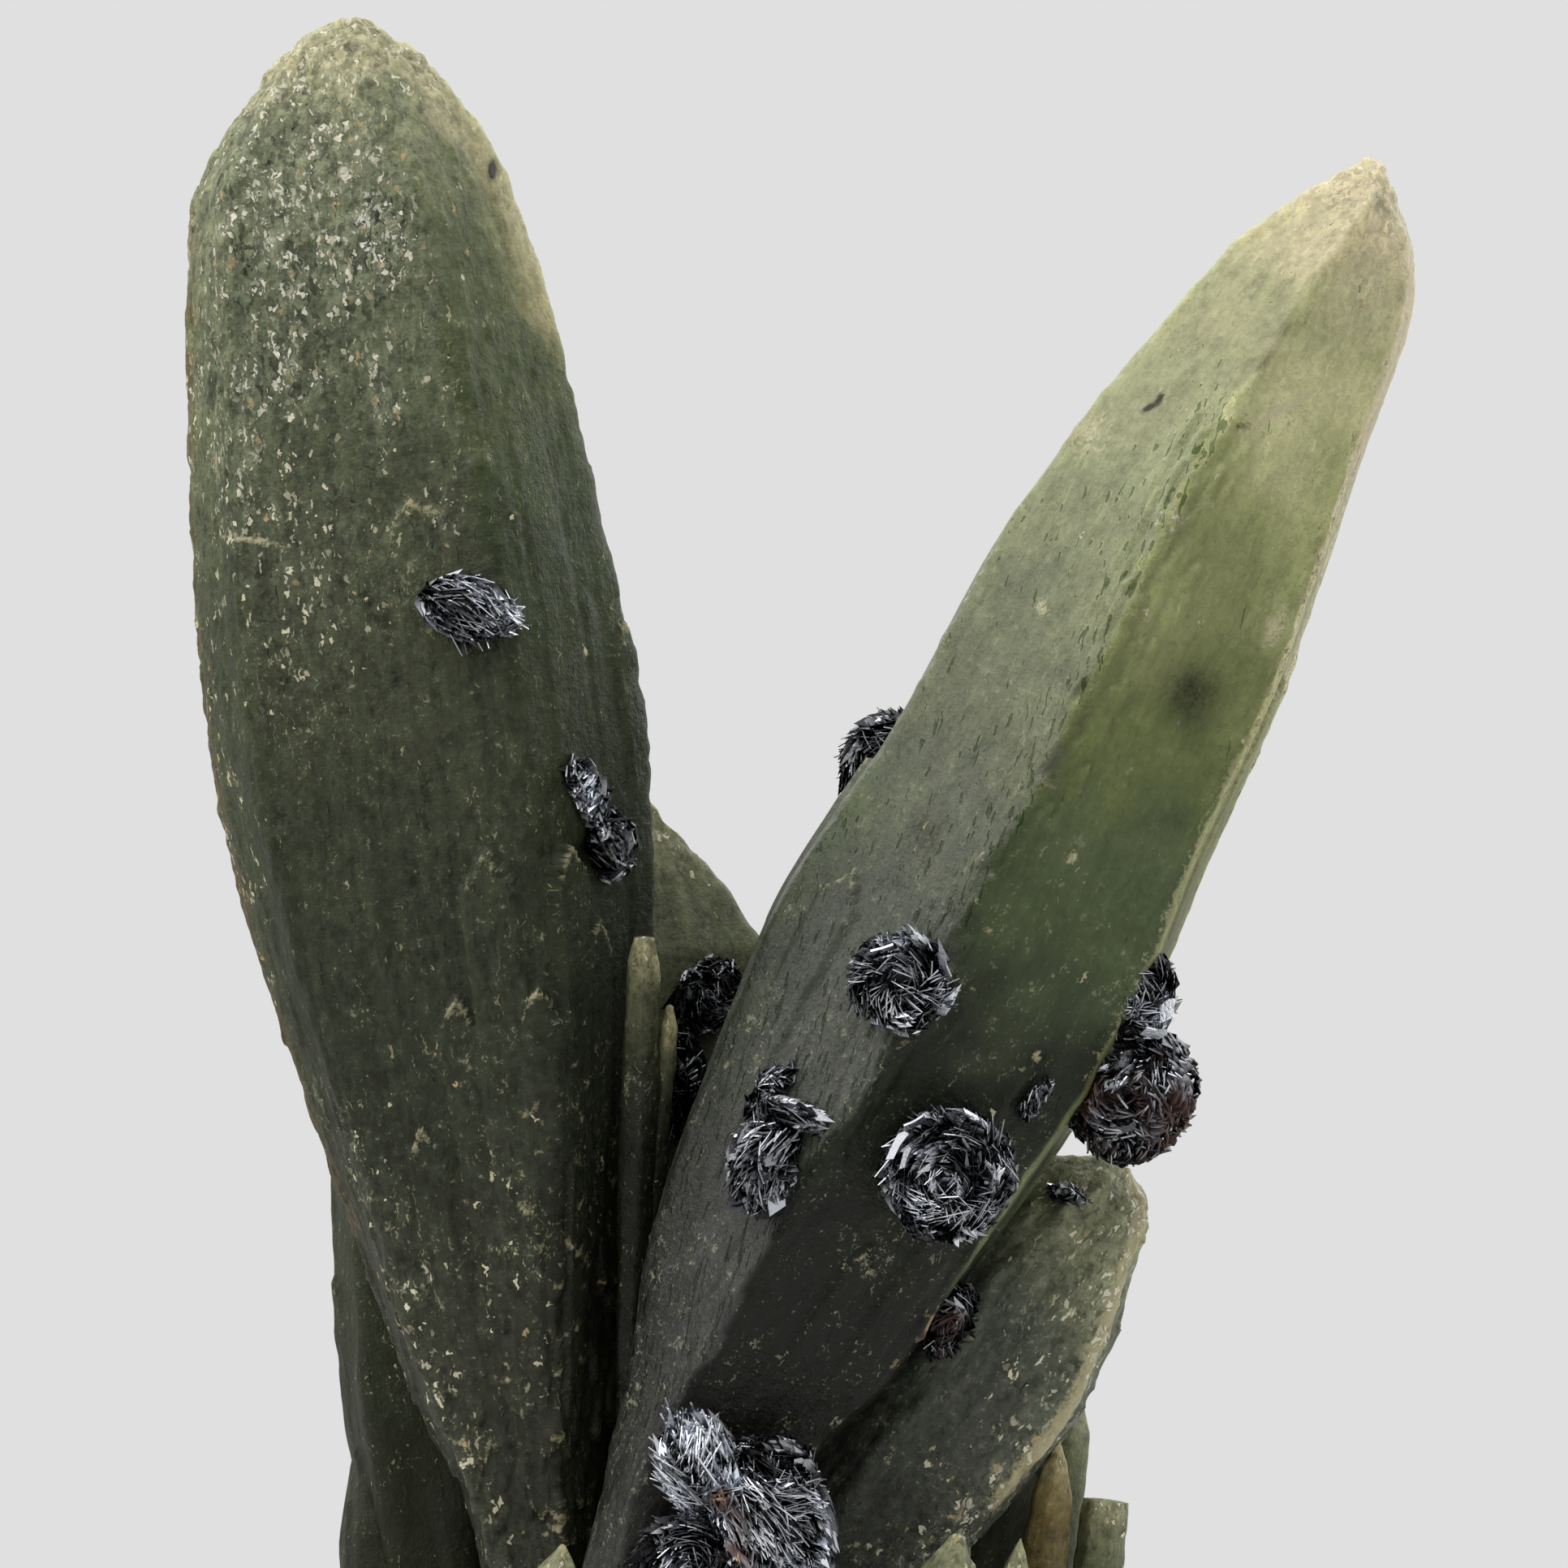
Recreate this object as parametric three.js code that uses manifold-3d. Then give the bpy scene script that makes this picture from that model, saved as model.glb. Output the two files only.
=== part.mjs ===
// A cluster of prase, leek-green quartz, with roses of platy hematite on its faces. Millimetres, +Z up.
// The origin is the middle of the flat cut under the cluster. Seen from the front, +X is right and +Y is away.
// Every quartz crystal is grown into its neighbours, so the quartz is one solid. Each hematite rose is its own.
import * as THREE from "three";
import { mergeVertices } from "three/addons/utils/BufferGeometryUtils.js";
import Module from "manifold-3d";

const wasm = await Module();
wasm.setup();

// Driving dimensions of the two tall crystals. Each row of an outline is a share of the length, then shares of the
// half width to the left and right of the axis, the front edge's place across, and a share of the half depth.
const BLADE = {
  root: [-8.5, 3.5, 0],
  tip: [-19.8, 0, 93.4],
  halfWidth: 11.6,
  halfDepth: 7.6,
  outline: [
    [0, 0.21, 0.21, 0.1, 0.42],
    [0.085, 0.22, 0.24, 0.12, 0.44],
    [0.17, 0.26, 0.3, 0.14, 0.48],
    [0.255, 0.48, 0.49, 0.2, 0.6],
    [0.35, 0.66, 0.65, 0.28, 0.76],
    [0.435, 0.82, 0.79, 0.34, 0.88],
    [0.52, 0.96, 0.9, 0.38, 0.97],
    [0.595, 1.02, 0.95, 0.4, 1],
    [0.66, 1.03, 0.92, 0.41, 0.99],
    [0.745, 0.98, 0.84, 0.38, 0.94],
    [0.84, 0.9, 0.74, 0.3, 0.83],
    [0.908, 0.82, 0.61, 0.24, 0.69],
    [0.94, 0.655, 0.5, 0.18, 0.55],
    [0.967, 0.47, 0.36, 0.1, 0.37],
    [0.988, 0.28, 0.2, 0.05, 0.2],
    [1, 0.1, 0.07, 0.01, 0.06],
  ],
};
const PRISM = {
  root: [-8, -1, 4],
  tip: [32.7, -3, 86],
  halfWidth: 10.5,
  halfDepth: 8.6,
  outline: [
    [0, 0.3, 0.29, -0.14, 0.37],
    [0.087, 0.4, 0.31, -0.19, 0.44],
    [0.164, 0.53, 0.34, -0.37, 0.54],
    [0.219, 0.65, 0.4, -0.35, 0.63],
    [0.273, 0.81, 0.57, -0.34, 0.77],
    [0.339, 0.915, 0.66, -0.3, 0.88],
    [0.415, 0.965, 0.76, -0.25, 0.95],
    [0.48, 1, 0.83, -0.18, 1],
    [0.546, 0.94, 0.84, -0.145, 1],
    [0.612, 0.87, 0.79, -0.125, 0.95],
    [0.7, 0.85, 0.77, -0.12, 0.91],
    [0.776, 0.765, 0.7, -0.115, 0.83],
    [0.852, 0.62, 0.6, -0.075, 0.72],
    [0.918, 0.45, 0.52, -0.03, 0.58],
    [0.956, 0.29, 0.4, 0.02, 0.42],
    [0.984, 0.14, 0.2, 0.04, 0.23],
    [1, 0.04, 0.04, 0.02, 0.05],
  ],
};
const PADDLE = {
  root: [-2, 4, 3],
  tip: [19.8, 3, 34.8],
  halfWidth: 6.5,
  halfDepth: 4.6,
  outline: [
    [0, 0.5, 0.5, -0.2, 0.6],
    [0.2, 0.7, 0.65, -0.25, 0.75],
    [0.44, 0.85, 0.77, -0.3, 0.9],
    [0.68, 1, 0.93, -0.3, 1],
    [0.78, 0.97, 0.83, -0.28, 0.95],
    [0.87, 0.8, 0.66, -0.2, 0.8],
    [0.935, 0.6, 0.55, -0.1, 0.6],
    [0.975, 0.24, 0.38, 0, 0.4],
    [1, 0.05, 0.16, 0.05, 0.15],
  ],
};

// Corners of a cross-section, round from the front edge: a share of the half width, or null for the front edge's
// own place, and a share of the half depth, where minus is the front.
const EDGE_ON = [[null, -1], [0.88, -0.5], [1, 0.4], [0.2, 1], [-0.95, 0.55], [-1, -0.35]];
const FACE_ON = [[null, -1], [1, -0.1], [0.5, 0.9], [-0.55, 1], [-1, 0.1], [-0.75, -0.8]];

// The plain crystals: root and tip, half width and half depth, a turn about the axis in degrees, and how long the
// point is. They widen from a narrow root, as the tall ones do.
const BACK_CRYSTALS = [
  { root: [-2, 7, 2], tip: [-5.2, 10, 53.2], half: [7.6, 4.8], turn: 8, point: 8 },
  { root: [-13.6, 6.5, -2], tip: [-18.1, 9, 43], half: [4.8, 4.4], turn: 20, point: 9 },
  { root: [1, 5, 2], tip: [16, 20, 61], half: [5.6, 5.2], turn: 12, point: 12 },
  { root: [-4, 6, 2], tip: [-15, 21, 47], half: [5, 4.6], turn: 25, point: 10 },
  { root: [0, 7, 2], tip: [5, 25, 37], half: [4.6, 4.2], turn: 5, point: 9 },
  { root: [-2, 6, 1], tip: [-19.5, 17, 26], half: [3.6, 3.3], turn: 14, point: 7 },
  { root: [3, 5, 1], tip: [15, 19, 29], half: [3.9, 3.5], turn: 22, point: 7 },
];
const SMALL_CRYSTALS = [
  // Two slim fingers beside the blade.
  { root: [-5.6, 0.4, 18], tip: [-4.6, -2.6, 46.4], half: [1.05, 0.95], turn: 10, point: 1.2, blunt: 0.6 },
  { root: [-5.2, 0.2, 20], tip: [-3.3, -1.7, 42.9], half: [0.6, 0.6], turn: 0, point: 1.2, blunt: 0.5 },
  // A low upright crystal on the left, and the group low on the right.
  { root: [-15.4, 6.5, -2], tip: [-17.6, 8.6, 31], half: [4.8, 3.3], turn: 15, point: 16 },
  { root: [14, 8, -2], tip: [17.6, 8, 23.4], half: [1.7, 1.5], turn: 18, point: 3 },
  { root: [8, 6, 0], tip: [15, 8.4, 21], half: [3.2, 3], turn: 10, point: 4 },
  { root: [14, 3.6, -2], tip: [16.8, 3.6, 20.3], half: [1.4, 1.3], turn: 5, point: 3 },
  { root: [7, -3, -1], tip: [11.4, -5.4, 16.2], half: [2.7, 2.3], turn: 24, point: 4 },
  { root: [12, -1.5, -1], tip: [14.6, -3.4, 15.8], half: [1.3, 1.2], turn: 12, point: 3 },
  { root: [-11, -4, 0], tip: [-8.6, -8.2, 16], half: [2.1, 1.8], turn: 8, point: 3 },
  { root: [4, 3, 1], tip: [22, 5.8, 7], half: [4.4, 4], turn: 12, point: 5 },
  { root: [-9, 0, 0], tip: [-16.2, -6, 13.5], half: [2.4, 2.1], turn: 20, point: 4 },
];
const BROKEN_CRYSTAL = {
  root: [17, 5, -2], tip: [19.3, 5, 17], half: [1.45, 1.3], turn: 28, point: 0.4, blunt: 0.86,
};

// The burr of short crystals round the foot. Each tier is a ring of them, from a start angle to an end angle, and
// they differ in angle, reach, height and width by these shares.
const BURR_CENTRE = [0, 2.5, -1];
const BURR_REACH = [18.5, 15.5];
const UNEVEN = { turn: 0.25, reach: 0.1, rise: 0.15, width: 0.1 };
const BURR_TIERS = [
  { count: 9, from: 0, to: 360, rise: 7.5, reach: 1, half: 5.4, point: 5 },
  { count: 7, from: 14, to: 374, rise: 12.5, reach: 0.84, half: 3.9, point: 4 },
  { count: 3, from: 20, to: 160, rise: 19, reach: 0.82, half: 3.3, point: 4 },
];

// Laths, the flat crystals grown side by side on a tall one's faces. Each is the face's number in the cross-section,
// a share across that face, the shares of the length where it starts and ends, its half width, and how far its end
// stands out.
const BLADE_LATHS = [
  [5, 0.86, 0.2, 0.525, 1.7, 1],
  [5, 0.97, 0.3, 0.47, 1.2, 0.8],
  [5, 0.62, 0.25, 0.47, 1.5, 0.5],
  [5, 0.35, 0.22, 0.4, 1.3, 0.5],
  [5, 0.7, 0.5, 0.74, 1.8, 0.4],
  [0, 0.4, 0.5, 0.8, 1.4, 0.5],
  [0, 0.95, 0.55, 0.9, 1.3, 0.45],
  [0, 0.93, 0.4, 0.66, 1.4, 0.45],
  [0, 0.9, 0.7, 0.945, 1.1, 0.45],
  [0, 0.45, 0.3, 0.5, 1.3, 0.6],
  [2, 0.3, 0.3, 0.62, 1.8, 0.6],
  [2, 0.7, 0.4, 0.78, 1.9, 0.5],
  [3, 0.3, 0.3, 0.7, 1.9, 0.6],
  [3, 0.7, 0.45, 0.84, 1.6, 0.5],
  [1, 0.5, 0.35, 0.66, 1.5, 0.5],
];
const PRISM_LATHS = [
  [1, 0.5, 0.5, 0.72, 1.6, 0.5],
  [0, 0.8, 0.24, 0.42, 1.1, 0.35],
  [0, 0.5, 0.2, 0.34, 0.9, 0.35],
  [5, 0.3, 0.3, 0.52, 1.2, 0.3],
  [2, 0.4, 0.4, 0.72, 2, 0.6],
  [3, 0.5, 0.4, 0.78, 2, 0.6],
  [4, 0.4, 0.3, 0.58, 1.6, 0.5],
];
const LATH_THICKNESS = 1.6;
const LATH_POINT = 2.6;

// The hematite roses. Each lump is a middle, half sizes along, through and across, and the way it is longest.
const ROSES = {
  rose_on_blade: [{ at: [-13.4, -7, 63.1], half: [2.7, 1.6, 1.9], along: [1, 0, -0.25] }],
  rose_on_blade_edge: [
    { at: [-7.5, -3.6, 53.9], half: [1.9, 1.1, 1.1], along: [0.5, 0.3, -0.9] },
    { at: [-6.4, -2.6, 51.2], half: [1.9, 1.3, 1.4], along: [0.1, 0.2, -1] },
  ],
  rose_behind_prism: [{ at: [7.5, 2.6, 55.6], half: [2.9, 2.3, 2.3], along: [0.5, 0, 0.9] }],
  rose_on_prism_ridge: [{ at: [8.4, -10.6, 44.4], half: [2.9, 2.2, 2.8], along: [1, 0, 0] }],
  rose_on_prism_flank: [
    { at: [1.7, -8.4, 35.3], half: [2.8, 1.7, 2.1], along: [-0.4, 0, -0.9] },
    { at: [3, -8.7, 37.6], half: [2.5, 1.2, 1], along: [0.95, 0, -0.25] },
    { at: [2.1, -7.4, 39.3], half: [1.3, 0.9, 0.8], along: [0.8, 0, 0.4] },
  ],
  rose_on_prism_face: [{ at: [10.8, -9, 34.6], half: [3.6, 3, 3.6], along: [1, 0, 0] }],
  rose_on_prism_edge: [
    { at: [20.4, -5, 43.4], half: [2.8, 2.1, 2.2], along: [0.3, 0, 1] },
    { at: [20.3, -4, 38.4], half: [3.9, 3.2, 3.5], along: [0.5, 0, 0.9] },
  ],
  rose_in_valley: [
    { at: [-1.4, 5.4, 43.2], half: [2.4, 2, 1.9], along: [0.6, 0, 0.8] },
    { at: [-2.8, 4, 38.6], half: [3.2, 2, 1.9], along: [-0.2, 0, 1] },
  ],
  rose_at_foot: [
    { at: [-1.4, -7, 19.6], half: [3.4, 2.5, 2.4], along: [-0.5, 0, 0.9] },
    { at: [1.8, -6.8, 16.6], half: [4, 3, 3.6], along: [0.5, 0, -0.8] },
    { at: [-2.4, -7.2, 14.4], half: [3.2, 2.6, 3], along: [0, 0, 1] },
  ],
  rose_under_prism: [{ at: [11, -2.6, 26.8], half: [2.3, 1.8, 1.3], along: [0.5, 0, 0.85] }],
  rose_on_paddle_tip: [{ at: [17.1, 0.1, 33.2], half: [1.2, 0.7, 0.6], along: [0.9, 0, -0.3] }],
  rose_on_prism_small: [{ at: [15.2, -7.1, 38.3], half: [1.3, 0.7, 0.7], along: [0.6, 0, 0.8] }],
  rose_on_blade_back: [{ at: [-17.5, 9.8, 58], half: [2.7, 1.8, 2.3], along: [0.6, 0, 0.8] }],
  rose_on_back_left: [{ at: [-12.6, 22, 34], half: [2.3, 1.8, 2.1], along: [1, 0, 0.3] }],
  rose_on_back_right: [{ at: [14.6, 21.4, 45.4], half: [2.9, 2.2, 2.6], along: [0.3, 0, 1] }],
  rose_at_back_foot: [{ at: [6, 19, 16], half: [2.9, 2.2, 2.4], along: [0.8, 0, 0.5] }],
};

// A lump with a half length under SMALL_LUMP has fewer faces. Its corners stand in and out by ROSE_ROUGHNESS.
const SMALL_LUMP = 2;
const ROSE_ROUGHNESS = 0.3;

// The air left between a rose and the quartz, and a depth below anything that is cut away.
const CLEARANCE = 0.3;
const DEEP = 40;

const PRASE = new THREE.MeshStandardMaterial({ color: "#4d5342", roughness: 0.45, metalness: 0 });
const HEMATITE = new THREE.MeshStandardMaterial({ color: "#3b3c40", roughness: 0.3, metalness: 0.9 });

const vector = (xyz) => new THREE.Vector3(...xyz);

// A closed geometry as a solid for joining and cutting.
function solidOf(geometry) {
  const bare = geometry.clone();
  bare.deleteAttribute("normal");
  bare.deleteAttribute("uv");
  const merged = mergeVertices(bare, 1e-4);
  const vertProperties = merged.attributes.position.array;
  return new wasm.Manifold(new wasm.Mesh({ numProp: 3, vertProperties, triVerts: merged.index.array }));
}

function geometryOf(solid) {
  const { vertProperties, triVerts } = solid.getMesh();
  const geometry = new THREE.BufferGeometry();
  geometry.setAttribute("position", new THREE.BufferAttribute(vertProperties, 3));
  geometry.setIndex(new THREE.BufferAttribute(triVerts, 1));
  return geometry;
}

const joined = (solids) => solids.reduce((whole, solid) => whole.add(solid));

// Rings of the same number of points, each a cross-section of the solid, and a flat cap at both ends.
function loft(rings) {
  const around = rings[0].length;
  const points = rings.flat();
  const index = [];
  for (let ring = 0; ring + 1 < rings.length; ring++)
    for (let k = 0; k < around; k++) {
      const a = ring * around + k;
      const b = ring * around + ((k + 1) % around);
      index.push(a, b, b + around, a, b + around, a + around);
    }
  const top = (rings.length - 1) * around;
  for (let k = 1; k + 1 < around; k++) {
    index.push(0, k + 1, k);
    index.push(top, top + k, top + k + 1);
  }
  const geometry = new THREE.BufferGeometry().setFromPoints(points);
  geometry.setIndex(index);
  return geometry;
}

// A crystal's own directions: up its axis, to its right as seen from the front, and away.
function axesOf({ root, tip }) {
  const start = vector(root);
  const up = vector(tip).sub(start);
  const length = up.length();
  up.normalize();
  const across = new THREE.Vector3(0, 1, 0).cross(up).normalize();
  const away = up.clone().cross(across);
  return { start, up, across, away, length };
}

function pointIn(axes, along, a, b) {
  const { start, up, across, away } = axes;
  return start.clone().addScaledVector(up, along).addScaledVector(across, a).addScaledVector(away, b);
}

// The corners of a tall crystal's cross-section, as places across and away, for one row of its outline.
function cornersAt({ halfWidth, halfDepth }, section, [, left, right, edge, deep]) {
  return section.map(([side, depth]) => {
    const a = side === null ? edge : side * (side < 0 ? left : right);
    return [a * halfWidth, depth * deep * halfDepth];
  });
}

function tallCrystal(shape, section) {
  const axes = axesOf(shape);
  const rings = shape.outline.map((row) =>
    cornersAt(shape, section, row).map(([a, b]) => pointIn(axes, row[0] * axes.length, a, b)),
  );
  return solidOf(loft(rings));
}

// A six-sided crystal that widens from a narrow root to near its top and ends in a point, or broken off blunt.
function plainCrystal({ root, tip, half, turn, point, blunt = 0.1 }) {
  const axes = axesOf({ root, tip });
  const shoulder = axes.length - point;
  // Each row is how far up the axis it is, and its size as a share of the full width.
  const rows = [
    [0, 0.62],
    [0.65 * shoulder, 1],
    [shoulder, 0.9],
    [shoulder + 0.6 * point, 0.42 + 0.5 * blunt],
    [axes.length, blunt],
  ];
  const rings = rows.map(([along, size]) => {
    const ring = [];
    for (let k = 0; k < 6; k++) {
      const angle = THREE.MathUtils.degToRad(k * 60 - 90 + turn);
      ring.push(pointIn(axes, along, Math.cos(angle) * half[0] * size, Math.sin(angle) * half[1] * size));
    }
    return ring;
  });
  return solidOf(loft(rings));
}

// The row of a tall crystal's outline at any share of its length.
function rowAt(outline, share) {
  const next = outline.findIndex((row) => row[0] >= share);
  const [low, high] = [outline[Math.max(next - 1, 0)], outline[next]];
  const t = (share - low[0]) / (high[0] - low[0] || 1);
  return low.map((value, k) => THREE.MathUtils.lerp(value, high[k], t));
}

// A thin crystal grown flat on one face of a tall one: its root is under the face and its end stands a little out.
function lath(shape, section, [face, share, from, to, halfWidth, proud]) {
  const axes = axesOf(shape);
  const onFace = (along, height) => {
    const corners = cornersAt(shape, section, rowAt(shape.outline, along));
    const [p, q] = [corners[face], corners[(face + 1) % corners.length]];
    const run = new THREE.Vector2(q[0] - p[0], q[1] - p[1]);
    const a = p[0] + run.x * share;
    const b = p[1] + run.y * share;
    const out = new THREE.Vector2(run.y, -run.x).normalize();
    return { at: [a + out.x * height, b + out.y * height], run: run.normalize(), out };
  };
  // Each step is a share of the length, a height over the face, and a share of the lath's width.
  const steps = [
    [from, -0.7 * LATH_THICKNESS, 0.6],
    [(from + to) / 2, 0.55 * proud, 1],
    [to - LATH_POINT / axes.length, proud, 0.85],
    [to, 0.4 * proud, 0.16],
  ];
  const rings = steps.map(([along, height, size]) => {
    const { at, run, out } = onFace(along, height);
    const w = halfWidth * size;
    const d = LATH_THICKNESS;
    // The outer side is a flat strip between two bevels.
    const ring = [[-w, -d], [-w, -0.3 * d], [-0.6 * w, 0], [0.6 * w, 0], [w, -0.3 * d], [w, -d]];
    return ring.map(([u, v]) =>
      pointIn(axes, along * axes.length, at[0] + run.x * u + out.x * v, at[1] + run.y * u + out.y * v),
    );
  });
  return solidOf(loft(rings));
}

// Short crystals leaning out all round the foot, no two alike.
function burr() {
  const solids = [];
  BURR_TIERS.forEach(({ count, from, to, rise, reach, half, point }, tier) => {
    for (let i = 0; i < count; i++) {
      // Waves that don't repeat within a ring stand in for chance.
      const sway = (step) => Math.sin(step * i + 2.3 * tier);
      const angle = THREE.MathUtils.degToRad(from + ((to - from) * (i + UNEVEN.turn * sway(5.1))) / count);
      const far = reach * (1 - UNEVEN.reach + UNEVEN.reach * sway(5.1));
      const tip = [
        BURR_CENTRE[0] + Math.cos(angle) * BURR_REACH[0] * far,
        BURR_CENTRE[1] + Math.sin(angle) * BURR_REACH[1] * far,
        rise * (1 + UNEVEN.rise * sway(3.7)),
      ];
      const wide = half * (1 + UNEVEN.width * sway(2.9));
      solids.push(plainCrystal({ root: BURR_CENTRE, tip, half: [wide, 0.88 * wide], turn: 40 * i, point }));
    }
  });
  return joined(solids);
}

// Everything under the cut is taken away.
function cutFlat(solid) {
  const ground = new THREE.BoxGeometry(4 * DEEP, 4 * DEEP, DEEP).translate(0, 0, -DEEP / 2);
  return solid.subtract(solidOf(ground));
}

function quartz() {
  return cutFlat(
    joined([
      tallCrystal(BLADE, FACE_ON),
      tallCrystal(PRISM, EDGE_ON),
      tallCrystal(PADDLE, EDGE_ON),
      ...BLADE_LATHS.map((row) => lath(BLADE, FACE_ON, row)),
      ...PRISM_LATHS.map((row) => lath(PRISM, EDGE_ON, row)),
      ...[...BACK_CRYSTALS, ...SMALL_CRYSTALS, BROKEN_CRYSTAL].map(plainCrystal),
      burr(),
    ]),
  );
}

// A number from 0 to 1 that depends only on a direction, so that every copy of a shared corner moves alike. The
// multipliers are arbitrary large ones, which leave no pattern.
function scatter({ x, y, z }, seed) {
  const wave = Math.sin(Math.round(x * 50) * 12.99 + Math.round(y * 50) * 78.23 + Math.round(z * 50) * 37.72 + seed);
  return Math.abs(wave * 43758.5453) % 1;
}

// A ball whose corners stand out and in like the ends of its plates, stretched to the lump's size.
function lump({ at, half, along }, seed) {
  const ball = new THREE.IcosahedronGeometry(1, half[0] < SMALL_LUMP ? 1 : 2);
  const corner = new THREE.Vector3();
  const { position } = ball.attributes;
  for (let i = 0; i < position.count; i++) {
    corner.fromBufferAttribute(position, i);
    corner.multiplyScalar(1 + ROSE_ROUGHNESS * (scatter(corner, seed) - 0.6));
    position.setXYZ(i, corner.x, corner.y, corner.z);
  }
  const x = vector(along).normalize();
  const z = x.clone().cross(new THREE.Vector3(0, 1, 0)).normalize();
  const frame = new THREE.Matrix4().makeBasis(x, z.clone().cross(x), z).setPosition(...at);
  ball.applyMatrix4(new THREE.Matrix4().makeScale(...half));
  ball.applyMatrix4(frame);
  return solidOf(ball);
}

// A rose is cut away where the quartz is, with a little clearance, and only its main body is kept.
function rose(lumps, crystal, seed) {
  const whole = joined(lumps.map((each, i) => lump(each, seed + i)));
  const shifts = [-CLEARANCE, CLEARANCE];
  let cut = whole.subtract(crystal);
  for (const d of shifts)
    for (const way of [[d, 0, 0], [0, d, 0], [0, 0, d]]) cut = cut.subtract(crystal.translate(way));
  return cut.decompose().reduce((best, body) => (body.volume() > best.volume() ? body : best));
}

function named(name, solid, material) {
  const mesh = new THREE.Mesh(geometryOf(solid), material);
  mesh.name = name;
  return mesh;
}

const crystal = quartz();
const cluster = new THREE.Group();
cluster.add(named("prase_crystals", crystal, PRASE));
Object.entries(ROSES).forEach(([name, lumps], i) => {
  cluster.add(named(name, rose(lumps, crystal, 7 * i), HEMATITE));
});

export default cluster;
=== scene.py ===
"""Looks of a prase quartz cluster that carries roses of platy hematite.

Sizes are millimetres in the object's own frame: X to the right, Y away, Z up, with the origin
in the middle of the flat cut underneath. Meshes are turned to metres as they are made.
"""

from __future__ import annotations

import sys
import itertools
import logging
import math
from dataclasses import dataclass
from enum import Enum
from typing import Any, Sequence

import bmesh
import bpy
import numpy as np
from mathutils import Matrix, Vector


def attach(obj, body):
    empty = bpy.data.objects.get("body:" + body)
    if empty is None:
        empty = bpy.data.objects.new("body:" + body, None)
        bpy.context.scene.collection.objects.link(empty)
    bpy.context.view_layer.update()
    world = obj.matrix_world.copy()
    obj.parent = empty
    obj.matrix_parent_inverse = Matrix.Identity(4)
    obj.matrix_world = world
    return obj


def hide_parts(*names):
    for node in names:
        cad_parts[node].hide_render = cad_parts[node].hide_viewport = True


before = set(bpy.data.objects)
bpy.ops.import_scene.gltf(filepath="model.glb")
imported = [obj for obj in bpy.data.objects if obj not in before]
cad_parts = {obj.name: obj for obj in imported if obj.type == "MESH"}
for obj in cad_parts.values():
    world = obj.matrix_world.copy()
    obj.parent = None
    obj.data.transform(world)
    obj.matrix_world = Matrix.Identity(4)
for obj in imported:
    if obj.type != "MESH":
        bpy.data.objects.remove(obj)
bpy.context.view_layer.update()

MM = 0.001
LOG = logging.getLogger("cluster")

Triple = tuple[float, float, float]
Pair = tuple[float, float]
# Points, faces and the plate attribute of each point.
Shell = tuple[np.ndarray, list[list[int]], np.ndarray]


class Mark(Enum):
    """What a patch of the quartz carries, and the attribute and channel that hold it."""

    # Near thin edges the colour moves towards the tip's: painted glow of light through the edge.
    THIN = ("growth", 0)
    CRUST = ("growth", 1)
    RIM = ("growth", 2)
    RUST = ("marks", 0)
    # Dark spots and cracks, and patches of painted shade.
    DARK = ("marks", 1)
    PALE = ("marks", 2)
    SLIT = ("lines", 0)
    # The faces that take the shaded copy of the ramp: painted shade low down and painted glow near the tip.
    GREEN = ("lines", 1)
    SATIN = ("lines", 2)


class Toward(Enum):
    """Which way the free end of a lath points."""

    TIP = 1
    ROOT = -1


class Habit(Enum):
    """How the plates of a hematite lump lie."""

    BALL = "plates curl round the lump's middle"
    SHEAF = "plates lie all one way"
    FAN = "plates spread from one point"


# Numbers and fields

# Large odd numbers that spread a cell's coordinates and stir their bits, and the highest result.
SPREAD = (73856093, 19349663, 83492791)
STIR = (739982445, 695872825)
HIGHEST = 0xFFFFFFFF


def unit(vector: np.ndarray) -> np.ndarray:
    """Vectors of length one, with the coordinates last."""
    return vector / np.maximum(np.linalg.norm(vector, axis=-1, keepdims=True), 1e-9)


def linear(colour: str) -> tuple[float, float, float, float]:
    """An sRGB hex colour as linear red, green, blue and alpha.

    Args:
        colour: Six hex digits after a #.

    Returns:
        The linear colour, fully opaque.
    """
    parts = [int(colour[i : i + 2], 16) / 255 for i in (1, 3, 5)]
    red, green, blue = [p / 12.92 if p <= 0.04045 else ((p + 0.055) / 1.055) ** 2.4 for p in parts]
    return red, green, blue, 1.0


def per_mm(wide: float, long: float) -> Triple:
    """A pattern's scale across, away and along from the width and length of its grain in mm."""
    return 1 / wide, 1 / wide, 1 / long


def hashed(cells: np.ndarray, seed: int) -> np.ndarray:
    """Random numbers that depend only on a cell and a seed.

    Args:
        cells: Whole numbers, with the three coordinates last.
        seed: Which field is meant.

    Returns:
        One number from 0 to 1 for each cell.
    """
    keys = cells[..., 0] * SPREAD[0] ^ cells[..., 1] * SPREAD[1] ^ cells[..., 2] * SPREAD[2]
    keys = (keys ^ (seed * 40503 + 12345)) & HIGHEST
    for _ in range(2):
        keys = ((keys ^ (keys >> 15)) * STIR[0]) & HIGHEST
        keys = ((keys ^ (keys >> 12)) * STIR[1]) & HIGHEST
    return (keys ^ (keys >> 15)) / HIGHEST


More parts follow.
